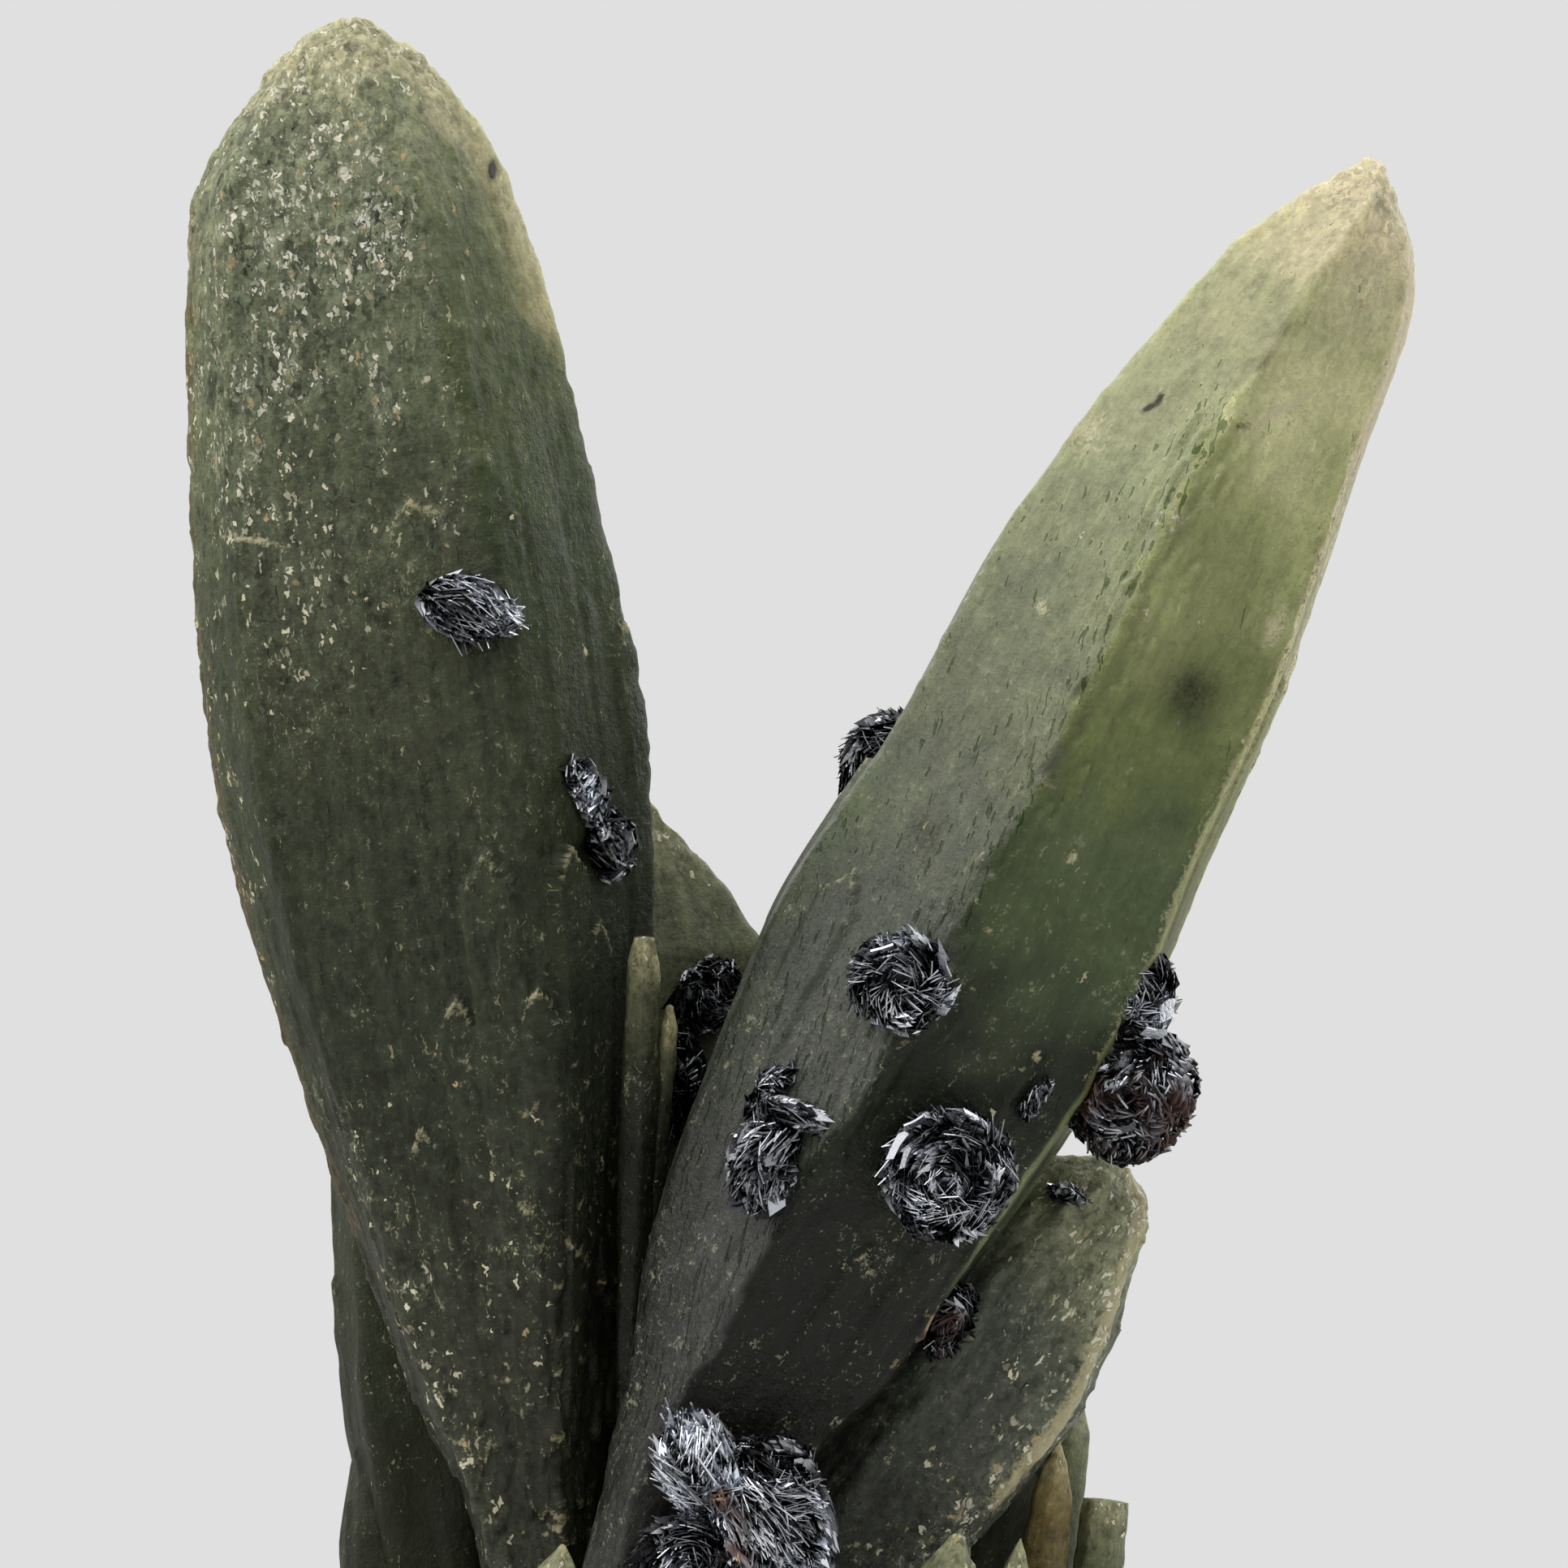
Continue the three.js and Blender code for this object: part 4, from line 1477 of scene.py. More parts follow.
        depth = np.repeat(((corners[..., 0] + 1) / 2)[:, None], 2, axis=1).ravel()
        own = np.repeat(0.6 * light + 0.4 * rng.random(count) + self.shine, 2 * sides)
        faces: list[list[int]] = []
        for start in range(0, 2 * sides * count, 2 * sides):
            faces.append([start + k for k in range(sides)])
            faces.append([start + 2 * sides - 1 - k for k in range(sides)])
            for k in range(sides):
                after = (k + 1) % sides
                faces.append([start + after, start + k, start + sides + k, start + sides + after])
        return points, faces, np.stack([depth, own, np.full(len(own), self.rust)], axis=-1)

    def core(self, seed: int) -> Shell:
        """The dark lump under the plates.

        Args:
            seed: Which noise roughens it.

        Returns:
            Points, faces and the plates' attribute for each point.
        """
        ball = bmesh.new()
        bmesh.ops.create_icosphere(ball, subdivisions=3, radius=1.0)
        unit_points = np.array([v.co[:] for v in ball.verts])
        faces = [[v.index for v in f.verts] for f in ball.faces]
        ball.free()
        rough = self.CORE + self.ROUGH * noise(unit_points * 3.1, seed, 2)
        points = np.array(self.at) + (unit_points * rough[:, None]) @ self.frame().T
        # Deep in the painted shade between the plates, and no brighter or darker than most plates.
        return points, faces, np.tile([0.2, 0.5, self.rust], (len(points), 1))


@dataclass(frozen=True)
class Plate:
    """One broad plate that stands clear of the others.

    Attributes:
        at: Its middle.
        along: Half its length, as a direction.
        across: Half its width, as a direction.
        shine: How bright it is, 0 to 1.
    """

    at: Triple
    along: Triple
    across: Triple
    shine: float = 0.9

    # Its outline, in halves of its length and width.
    OUTLINE = ((-1, -0.5), (-0.7, 0.8), (0.1, 0.6), (0.9, 0.9), (1, 0.1), (0.5, -0.9), (-0.3, -0.7))
    THICKNESS = 0.12

    def mesh(self) -> Shell:
        """Builds the plate.

        Returns:
            Points, faces and the plates' attribute for each point.
        """
        along, across = np.array(self.along), np.array(self.across)
        flat = unit(np.cross(along, across)) * self.THICKNESS / 2
        ring = np.array(self.at) + np.array(self.OUTLINE) @ np.stack([along, across])
        sides = len(ring)
        faces = [list(range(sides)), [2 * sides - 1 - k for k in range(sides)]]
        faces += [[(k + 1) % sides, k, sides + k, sides + (k + 1) % sides] for k in range(sides)]
        return np.vstack([ring + flat, ring - flat]), faces, np.tile([1.0, self.shine, 0.0], (2 * sides, 1))


@dataclass(frozen=True)
class Stain:
    """A place where a rose's plates have weathered to oxide.

    Attributes:
        at: Its middle.
        radius: How far it reaches.
        strength: How far the oxide has gone, red-brown from about 0.5 and ochre from about 0.9.
    """

    at: Triple
    radius: float
    strength: float


@dataclass(frozen=True)
class HematiteRose:
    """One rose: lumps of thin plates grown together on the quartz.

    Attributes:
        name: The solid that it replaces.
        lumps: Its lumps.
        seed: The start of its random draws.
        broad: Its broad plates.
        stains: Where it is stained.
    """

    name: str
    lumps: tuple[Lump, ...]
    seed: int
    broad: tuple[Plate, ...] = ()
    stains: tuple[Stain, ...] = ()

    def make(self, material: bpy.types.Material) -> bpy.types.Object:
        """Builds and dresses the rose.

        Args:
            material: Its material.

        Returns:
            The object.
        """
        rng = np.random.default_rng(self.seed)
        shells: list[Shell] = []
        for k, lump in enumerate(self.lumps):
            shells += [lump.core(self.seed + k), lump.plates(rng)]
        shells += [plate.mesh() for plate in self.broad]
        faces: list[list[int]] = []
        total = 0
        for points, corners, _ in shells:
            faces += [[k + total for k in face] for face in corners]
            total += len(points)
        places = np.vstack([shell[0] for shell in shells])
        values = np.vstack([shell[2] for shell in shells])
        for stain in self.stains:
            away = np.linalg.norm(places - stain.at, axis=1) / stain.radius
            values[:, 2] += stain.strength * np.exp(-(away**2))
        made = make_object(self.name + "_plates", places, faces, {"plate": values})
        # Only the cores are made of triangles.
        smooth = [len(face.vertices) == 3 for face in made.data.polygons]
        made.data.polygons.foreach_set("use_smooth", smooth)
        made.data.materials.append(material)
        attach(made, "root")
        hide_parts(self.name)
        LOG.info("%s: %d faces", self.name, len(made.data.polygons))
        return made


# Studio


@dataclass(frozen=True)
class Softbox:
    """One soft square light that points at the cluster.

    Attributes:
        name: The light's name.
        towards: The direction from the cluster in which it hangs.
        distance: How far away it hangs, in metres.
        size: Length of its side, in metres.
        radiance: How bright its surface is.
        tint: Its colour.
    """

    name: str
    towards: Triple
    distance: float
    size: float
    radiance: float
    tint: str = "#ffffff"

    def make(self, aim: Vector) -> bpy.types.Object:
        """Hangs the light.

        Args:
            aim: The point that it faces, in metres.

        Returns:
            The light's object.
        """
        lamp = bpy.data.lights.new(self.name, "AREA")
        lamp.shape = "SQUARE"
        lamp.size = self.size
        lamp.energy = self.radiance * math.pi * self.size**2
        lamp.color = linear(self.tint)[:3]
        made = bpy.data.objects.new(self.name, lamp)
        way = Vector(self.towards).normalized()
        made.location = aim + way * self.distance
        made.rotation_euler = way.to_track_quat("Z", "Y").to_euler()
        bpy.context.scene.collection.objects.link(made)
        return made


@dataclass(frozen=True)
class Studio:
    """Plain pale floor, plain pale room, soft light and the camera.

    Attributes:
        backdrop: Colour of the room behind the cluster.
        floor_colour: Colour of the floor.
        camera_at: Where the camera stands, in mm.
        picture_width: Width that the picture covers in the plane of the axis, in mm.
        floor_radius: Radius of the floor, in mm.
        floor_clear: How far from the middle it starts to fade, in mm.
        lights: The soft lights.
    """

    backdrop: str = "#e0e0e0"
    floor_colour: str = "#dcdcda"
    camera_at: Triple = (2.54, -400.0, 54.25)
    picture_width: float = 80.5
    floor_radius: float = 134.0
    floor_clear: float = 55.0
    lights: tuple[Softbox, ...] = (
        Softbox("window_left", (-0.81, -0.38, 0.42), 0.6, 0.56, 1.95, "#fffdf8"),
        Softbox("lamp_above", (-0.3, -0.42, 0.9), 0.6, 0.34, 2.6),
        Softbox("card_right", (0.72, -0.62, 0.2), 0.6, 0.5, 0.75),
        Softbox("window_right_back", (0.8, 0.55, 0.35), 0.6, 0.35, 2.0, "#fbfdff"),
    )

    # Where the lights point, in mm.
    AIM = (0.0, 0.0, 50.0)
    # Rings and steps of the floor's mesh.
    RINGS, STEPS = 24, 96
    # Width of the camera's sensor, in mm, and the distances between which it sees, in metres.
    SENSOR, NEAR, FAR = 36.0, 0.01, 50.0

    def make(self) -> None:
        """Builds the room, the floor, the lights and the camera."""
        bpy.context.scene.view_settings.view_transform = "Standard"
        self.make_room()
        self.make_floor()
        for light in self.lights:
            light.make(Vector(self.AIM) * MM)
        self.make_camera()

    def make_room(self) -> None:
        """The plain room: evenly pale to the eye, lighter above than below as a light."""
        world = bpy.data.worlds.new("pale_room")
        bpy.context.scene.world = world
        g = Graph(world)
        _, back, up = g.add("SeparateXYZ", g.add("TexCoord", out="Generated")).node.outputs
        above = g.add("MapRange", up, 0.1, 0.75, 0.0, 1.0)
        behind = g.add("MapRange", back, -0.25, 0.5, 0.14, 0.7)
        level = g.add("MapRange", up, -0.45, 0.05, 0.35, 1.0)
        sides = g.add("Math.MULTIPLY", behind, level)
        glow = g.add("Math.MULTIPLY_ADD", above, 0.85, sides)
        light = g.add("Background", {"Color": (1.0, 0.985, 0.96, 1.0), "Strength": glow})
        seen = g.add("Background", {"Color": linear(self.backdrop), "Strength": 1.0})
        eye = g.add("LightPath", out="Is Camera Ray")
        g.add("OutputWorld", {"Surface": g.add("MixShader", eye, light, seen)})

    def make_floor(self) -> None:
        """A round pale floor that fades out towards its edge."""
        angle = 2 * math.pi * np.arange(self.STEPS) / self.STEPS
        circle = np.stack([np.cos(angle), np.sin(angle), 0 * angle], axis=-1)
        rings = [self.floor_radius * k / self.RINGS * circle for k in range(1, self.RINGS + 1)]
        faces = []
        for k in range(self.STEPS):
            after = (k + 1) % self.STEPS
            faces.append([0, 1 + k, 1 + after])
            for first in range(1, 1 + (self.RINGS - 1) * self.STEPS, self.STEPS):
                faces.append([first + k, first + self.STEPS + k, first + self.STEPS + after, first + after])
        floor = make_object("floor", np.vstack([np.zeros((1, 3)), *rings]), faces, {})
        floor.data.materials.append(self.paper())

    def paper(self) -> bpy.types.Material:
        """The floor's matt paper, which thins out to nothing at the floor's edge.

        Returns:
            The material.
        """
        made = bpy.data.materials.new("matt_paper_sheet")
        g = Graph(made)
        place = g.add("TexCoord", out="Object")
        # Paper tooth of about 0.5 mm.
        tooth = g.add("TexNoise", {"Vector": place, "Scale": 1 / (0.5 * MM), "Detail": 3.0})
        tone = g.add("MapRange", tooth, 0.3, 0.7, 0.97, 1.02)
        colour = g.add("VectorMath.SCALE", {0: linear(self.floor_colour)[:3], "Scale": tone})
        bump = g.add("Bump", {"Height": tooth, "Strength": 0.2, "Distance": 0.05 * MM})
        sheet = g.add("BsdfPrincipled", {"Base Color": colour, "Roughness": 0.9, "Normal": bump})
        far = g.add("VectorMath.LENGTH", place, out="Value")
        fade = {0: far, 1: self.floor_clear * MM, 2: self.floor_radius * MM, 3: 0.0, 4: 1.0}
        gone = g.add("MapRange", fade, interpolation_type="SMOOTHSTEP")
        both = g.add("MixShader", gone, sheet, g.add("BsdfTransparent"))
        g.add("OutputMaterial", {"Surface": both})
        return made

    def make_camera(self) -> None:
        """The level camera in front."""
        camera = bpy.data.cameras.new("camera")
        camera.sensor_width = self.SENSOR
        camera.lens = self.SENSOR * -self.camera_at[1] / self.picture_width
        camera.clip_start, camera.clip_end = self.NEAR, self.FAR
        made = bpy.data.objects.new("camera", camera)
        made.location = Vector(self.camera_at) * MM
        made.rotation_euler = (math.radians(90), 0.0, 0.0)
        bpy.context.scene.collection.objects.link(made)
        bpy.context.scene.camera = made


# The cluster's own sizes

THIN, CRUST, RIM, RUST, DARK, PALE, SLIT, GREEN, SATIN = Mark
_, SHEAF, FAN = Habit

# The edges of a crystal that shows a face, and of one that shows an edge, by the side that they keep to.

FACE_ON = ((None, -1), (1, -0.1), (0.5, 0.9), (-0.55, 1), (-1, 0.1), (-0.75, -0.8))
EDGE_ON = ((None, -1), (0.88, -0.5), (1, 0.4), (0.2, 1), (-0.95, 0.55), (-1, -0.35))

BLADE_PRASE = PraseFinish(
    "prase_blade_with_painted_shade",
    (
        (0.0, "#303127"), (0.3, "#2c2f24"), (0.5, "#363b2c"), (0.7, "#464b38"), (0.86, "#5e664e"),
        (0.95, "#787e61"), (0.99, "#aaa685"),
    ),
    (
        (0.0, "#24261a"), (0.3, "#1d2115"), (0.5, "#2a3020"), (0.7, "#3a442b"), (0.88, "#5a6340"),
        (0.985, "#aca67c"),
    ),
    fibre=0.5, slits=0.35, scratches=0.5, specks=0.05, flecks=0.55, grainy=0.8, roughness=0.46, clear=0.4,
    gloss=0.17,
)
# The ramp is neutral grey low down as a painted sheen on the lit left face. The turned ramp is near black low
# down as painted shade and pale near the tip as painted glow of light through it.
PRISM_PRASE = PraseFinish(
    "prase_prism_with_painted_sheen_and_shade",
    (
        (0.0, "#323231"), (0.3, "#3e3f3d"), (0.52, "#52574c"), (0.66, "#6f745b"), (0.77, "#949975"),
        (0.86, "#a3a57f"), (0.985, "#d1c4a2"),
    ),
    (
        (0.0, "#131410"), (0.3, "#10120c"), (0.45, "#20261a"), (0.57, "#566243"), (0.65, "#737d4e"),
        (0.8, "#adb27d"), (0.9, "#dddcac"), (0.985, "#e2d6b0"),
    ),
    fibre=0.3, plates=0.14, slits=0.25, scratches=0.25, specks=0.04, flecks=0.72, grainy=0.5, slant=0.25,
    roughness=0.38, clear=0.6,
)
PADDLE_PRASE = PraseFinish(
    "prase_paddle_as_grown",
    ((0.0, "#272924"), (0.5, "#3a3d36"), (0.8, "#494e42"), (0.97, "#7d8064")),
    ((0.0, "#272924"), (0.5, "#383b31"), (0.8, "#4e5440"), (0.97, "#83865f")),
    fibre=0.4, slits=0.4, specks=0.06, flecks=0.8,
)
DARK_PRASE = PraseFinish(
    "prase_dark_as_grown",
    ((0.0, "#272a1f"), (0.5, "#393f2f"), (0.85, "#62684d"), (0.98, "#868667")),
    ((0.0, "#24281b"), (0.5, "#363d2a"), (0.85, "#626949"), (0.98, "#868763")),
    fibre=0.5, slits=0.4, specks=0.08,
)
# A darker copy of the dark prase: painted shade for the crystals that sit in shade behind the blade and the
# paddle.
PAINTED_SHADE_PRASE = PraseFinish(
    "prase_painted_shade",
    ((0.0, "#181b0f"), (0.5, "#1f2314"), (0.85, "#373c2a"), (0.98, "#5f604a")),
    ((0.0, "#181b0f"), (0.5, "#1f2413"), (0.85, "#373e28"), (0.98, "#5f624a")),
    fibre=0.3, plates=0.08, slits=0.2, scratches=0.2, specks=0.03, flecks=0.2, grainy=0.4, gloss=0.13,
)
FINGER_PRASE = PraseFinish(
    "prase_finger_as_grown",
    ((0.0, "#10120c"), (0.64, "#181a12"), (0.8, "#2e3121"), (0.91, "#575942"), (0.985, "#8d8966")),
    ((0.0, "#10120c"), (0.64, "#181a12"), (0.8, "#2e3121"), (0.91, "#575942"), (0.985, "#8d8966")),
    fibre=0.4, slits=0.2, specks=0.04,
)
HONEY_PRASE = PraseFinish(
    "prase_honey_as_grown",
    ((0.0, "#2c2817"), (0.5, "#473f25"), (0.85, "#6b5e38"), (0.98, "#948a63")),
    ((0.0, "#2c2715"), (0.5, "#493f21"), (0.85, "#6f6034"), (0.98, "#988c60")),
    fibre=0.45, slits=0.3, specks=0.1,
)

BLADE = TallCrystal(
    "blade_crystal", (-8.5, 3.5, 0), (-19.8, 0, 93.4), BLADE_PRASE,
    spacing=0.215, back_stretch=2.2, rounding=0.55, swell=0.16, ribs=0.07, druse=0.4, druse_from=0.93,
    wear=0.17, seed=11, half_width=11.6, half_depth=7.6, section=FACE_ON,
    outline=(
        (0, 0.21, 0.21, 0.1, 0.42), (0.085, 0.22, 0.24, 0.12, 0.44), (0.17, 0.26, 0.3, 0.14, 0.48),
        (0.255, 0.48, 0.49, 0.2, 0.6), (0.35, 0.66, 0.65, 0.28, 0.76), (0.435, 0.82, 0.79, 0.34, 0.88),
        (0.52, 0.96, 0.9, 0.38, 0.97), (0.595, 1.02, 0.95, 0.4, 1), (0.66, 1.03, 0.92, 0.41, 0.99),
        (0.745, 0.98, 0.84, 0.38, 0.94), (0.84, 0.9, 0.74, 0.3, 0.83), (0.908, 0.82, 0.61, 0.24, 0.69),
        (0.94, 0.655, 0.5, 0.18, 0.55), (0.967, 0.47, 0.36, 0.1, 0.37), (0.988, 0.28, 0.2, 0.05, 0.2),
        (1, 0.1, 0.07, 0.01, 0.06),
    ),
    laths=(
        Lath(5, 0.82, 0.2, 0.545, 1.7, 1, 0.4), Lath(0, 0.23, 0.2, 0.545, 1.3, 0.9, 0.6),
        Lath(5, 0.97, 0.3, 0.47, 1.2, 0.8), Lath(5, 0.62, 0.25, 0.47, 1.5, 0.5),
        Lath(5, 0.35, 0.22, 0.4, 1.3, 0.5), Lath(5, 0.7, 0.5, 0.74, 1.8, 0.3),
        Lath(0, 0.4, 0.5, 0.8, 1.4, 0.16, 0.1), Lath(0, 0.95, 0.55, 0.9, 1.3, 0.16, 0.1),
        Lath(0, 0.93, 0.4, 0.66, 1.4, 0.3, 0.6), Lath(0, 0.9, 0.7, 0.945, 1.1, 0.16, 0.1),
        Lath(0, 0.45, 0.3, 0.5, 1.3, 0.6), Lath(2, 0.3, 0.3, 0.62, 1.8, 0.6),
        Lath(2, 0.7, 0.4, 0.78, 1.9, 0.5), Lath(3, 0.3, 0.3, 0.7, 1.9, 0.6),
        Lath(3, 0.7, 0.45, 0.84, 1.6, 0.5), Lath(1, 0.5, 0.35, 0.66, 1.5, 0.5),
    ),
    scales=(
        Scales(420, (0.35, 0.9), (3, 10), (0.3, 0.9), (0.03, 0.12), Toward.TIP, 0.2),
        Scales(1000, (0.64, 0.985), (0.6, 1.8), (0.18, 0.4), (0.07, 0.22), Toward.TIP, 0.5),
        Scales(160, (0.1, 0.46), (1.0, 3.0), (0.2, 0.5), (0.06, 0.2), Toward.ROOT, 0.4),
        Scales(160, (0.1, 0.5), (2.5, 6), (0.4, 1.0), (0.08, 0.22), Toward.ROOT, 0.3),
        Scales(150, (0.14, 0.43), (1.2, 4.0), (0.3, 0.8), (0.15, 0.45), Toward.ROOT, 0.75, 0, 2.2),
        Scales(60, (0.12, 0.42), (1.2, 3.0), (0.2, 0.5), (0.1, 0.3), Toward.ROOT, 0.9, 5, 1.0),
        Scales(50, (0.12, 0.4), (1.2, 3.0), (0.2, 0.5), (0.1, 0.3), Toward.ROOT, 1.0, 4, 0.8),
    ),
    patches=(
        Patch(CRUST, -22.2, 83, 5.5, 9.0, 0, 0.8), Patch(CRUST, -18.3, 82.3, 2.2, 3.6, 0, 1.1),
        Patch(CRUST, -24, 75, 4.5, 3.0, 0, 0.8), Patch(CRUST, -17.7, 73.7, 1.2, 3.5, 0, 0.6),
        Patch(CRUST, -25.2, 69.5, 3, 4, 0, 0.5), Patch(CRUST, -21.9, 65.3, 4, 5, 0, 0.35),
        Patch(CRUST, -14.8, 67.8, 1.0, 2.0, 0, 0.5), Patch(CRUST, -12, 27, 3.5, 9, 14, 0.12),
        Patch(PALE, -24.3, 66.6, 2.2, 0.2, 10, 0.8), Patch(DARK, -12.55, 85.6, 0.17, 0.4, 0, 2.5),
        # The long dark patch beside the fingers is painted shade.
        Patch(DARK, -7.0, 32, 2.0, 13, 3, 0.7), Patch(CRUST, -19, 80, 7, 12, 0, 0.5, behind=True),
    ),
    # The thin-edge bands paint a glow of light through the edges.
    margins=(
        Margin(RUST, 4, 2.6, (0.3, 0.95), 0.55), Margin(CRUST, 4, 3.0, (0.45, 0.97), 0.35),
        Margin(THIN, 1, 2.4, (0.78, 1.1), 0.75), Margin(PALE, 1, 0.8, (0.8, 1.1), 0.4),
        Margin(CRUST, 5, 1.6, (0.05, 0.42), 0.22), Margin(THIN, 4, 4.0, (0.2, 0.95), 0.45),
    ),
    # These faces take the shaded copy of the ramp: painted shade low down.
    faces=(
        Face(GREEN, 0, (0.2, 0.95), 0.8, 0.7), Face(GREEN, 1, (0.2, 0.95), 0.8, 0.3),
        Face(GREEN, 4, (0.2, 0.9), 0.6, 0.6),
    ),
)

PRISM = TallCrystal(
    "prism_crystal", (-8, -1, 4), (32.7, -3, 86), PRISM_PRASE,
    spacing=0.215, back_stretch=2.2, rounding=0.4, swell=0.1, ribs=0.045, druse=0.22, druse_from=0.94,
    wear=0.11, seed=12, half_width=10.5, half_depth=8.6, section=EDGE_ON,
    outline=(
        (0, 0.3, 0.29, -0.14, 0.37), (0.087, 0.4, 0.31, -0.19, 0.44), (0.164, 0.53, 0.34, -0.37, 0.54),
        (0.219, 0.65, 0.4, -0.35, 0.63), (0.273, 0.81, 0.57, -0.34, 0.77), (0.339, 0.915, 0.66, -0.3, 0.88),
        (0.415, 0.965, 0.76, -0.25, 0.95), (0.48, 1, 0.83, -0.18, 1), (0.546, 0.94, 0.84, -0.145, 1),
        (0.612, 0.87, 0.79, -0.125, 0.95), (0.7, 0.85, 0.77, -0.12, 0.91), (0.776, 0.765, 0.7, -0.115, 0.83),
        (0.852, 0.62, 0.6, -0.075, 0.72), (0.918, 0.45, 0.52, -0.03, 0.58), (0.956, 0.29, 0.4, 0.02, 0.42),
        (0.984, 0.14, 0.2, 0.04, 0.23), (1, 0.04, 0.04, 0.02, 0.05),
    ),
    laths=(
        Lath(0, 0.68, 0.36, 0.475, 0.5, 0.25, 0.9), Lath(0, 0.73, 0.19, 0.285, 0.4, 0.2, 0.7),
        Lath(1, 0.5, 0.5, 0.72, 1.6, 0.25), Lath(0, 0.8, 0.24, 0.42, 1.1, 0.35),
        Lath(0, 0.5, 0.2, 0.34, 0.9, 0.35), Lath(5, 0.3, 0.3, 0.52, 1.2, 0.3),
        Lath(2, 0.4, 0.4, 0.72, 2, 0.6), Lath(3, 0.5, 0.4, 0.78, 2, 0.6),
        Lath(4, 0.4, 0.3, 0.58, 1.6, 0.5),
    ),
    scales=(
        Scales(260, (0.2, 0.97), (4, 14), (0.3, 0.9), (0.02, 0.08), Toward.TIP, 0.1),
        Scales(90, (0.1, 0.5), (3, 8), (0.3, 0.8), (0.05, 0.14), Toward.ROOT, 0.3),
        Scales(140, (0.4, 0.84), (2, 6), (0.2, 0.55), (0.14, 0.38), Toward.TIP, 0.6, 0, 1.1),
        Scales(60, (0.3, 0.8), (5, 14), (0.15, 0.4), (0.08, 0.2), Toward.TIP, 0.6, 1, 0.6),
        Scales(60, (0.3, 0.75), (5, 14), (0.15, 0.4), (0.08, 0.2), Toward.TIP, 0.6, 2, 0.8),
        Scales(110, (0.88, 0.985), (0.5, 1.5), (0.16, 0.4), (0.04, 0.14), Toward.TIP, 0.3),
    ),
    patches=(
        Patch(DARK, 23.0, 58.8, 1.6, 1.7, 0, 0.8), Patch(DARK, 21.05, 73.3, 0.36, 0.1, -30, 3.0),
        Patch(DARK, 21.5, 73.65, 0.28, 0.1, -70, 3.0), Patch(CRUST, 30, 83, 3, 3, 0, 0.12),
        Patch(PALE, 18.1, 72, 0.9, 1.6, 28, 0.5), Patch(PALE, 27.4, 73, 0.45, 2.2, 62, 0.75),
        Patch(PALE, 27.3, 62.2, 0.6, 1.3, 25, 0.75), Patch(DARK, 9.6, 51.5, 0.7, 1.0, 25, 0.6),
        Patch(CRUST, 9.8, 51.2, 0.8, 0.8, 0, 0.5), Patch(PALE, 15.5, 63.2, 0.3, 0.8, -25, 0.6),
        Patch(CRUST, 22, 67.4, 0.6, 0.7, 0, 0.5), Patch(PALE, 16.9, 50.6, 0.35, 0.5, 30, 0.6),
        Patch(RUST, 25.6, 72.2, 0.5, 0.3, 0, 0.6),
    ),
    # The thin-edge bands on the right edges paint a glow of light through them.
    margins=(
        Margin(DARK, 0, 0.7, (0.45, 0.92), 0.3), Margin(GREEN, 5, 2.6, (0.1, 0.6), 0.7, 1),
        Margin(PALE, 5, 0.6, (0.6, 0.97), 0.25), Margin(PALE, 1, 0.5, (0.45, 0.97), 0.42),
        Margin(THIN, 1, 2.5, (0.3, 0.98), 1.0, 1), Margin(THIN, 2, 3.0, (0.3, 0.98), 1.0),
        Margin(PALE, 2, 1.2, (0.3, 0.85), 0.5), Margin(RUST, 2, 0.5, (0.35, 0.9), 0.5),
        Margin(RUST, 1, 1.2, (0.62, 0.9), 0.25), Margin(RUST, 5, 0.7, (0.72, 0.86), 0.3),
        Margin(SLIT, 0, 3.7, (0.2, 0.88), 1.0, -1), Margin(SLIT, 2, 2.0, (0.2, 0.8), 0.8),
    ),
    # The marks on faces 0 to 2 give the shaded copy of the ramp: painted shade low down and painted glow near
    # the tip.
    faces=(
        Face(GREEN, 0, (0.1, 0.98), 1.0, 0.6), Face(GREEN, 1, (0.1, 0.98), 0.9, 0.3),
        Face(GREEN, 2, (0.1, 0.98), 0.8, 0.3), Face(SATIN, 5, (0, 0.9), 1.0),
        Face(RUST, 1, (0.35, 0.95), 0.4), Face(SLIT, 5, (0.1, 0.55), 0.75),
        Face(SLIT, 5, (0.1, 0.85), 0.5),
    ),
)

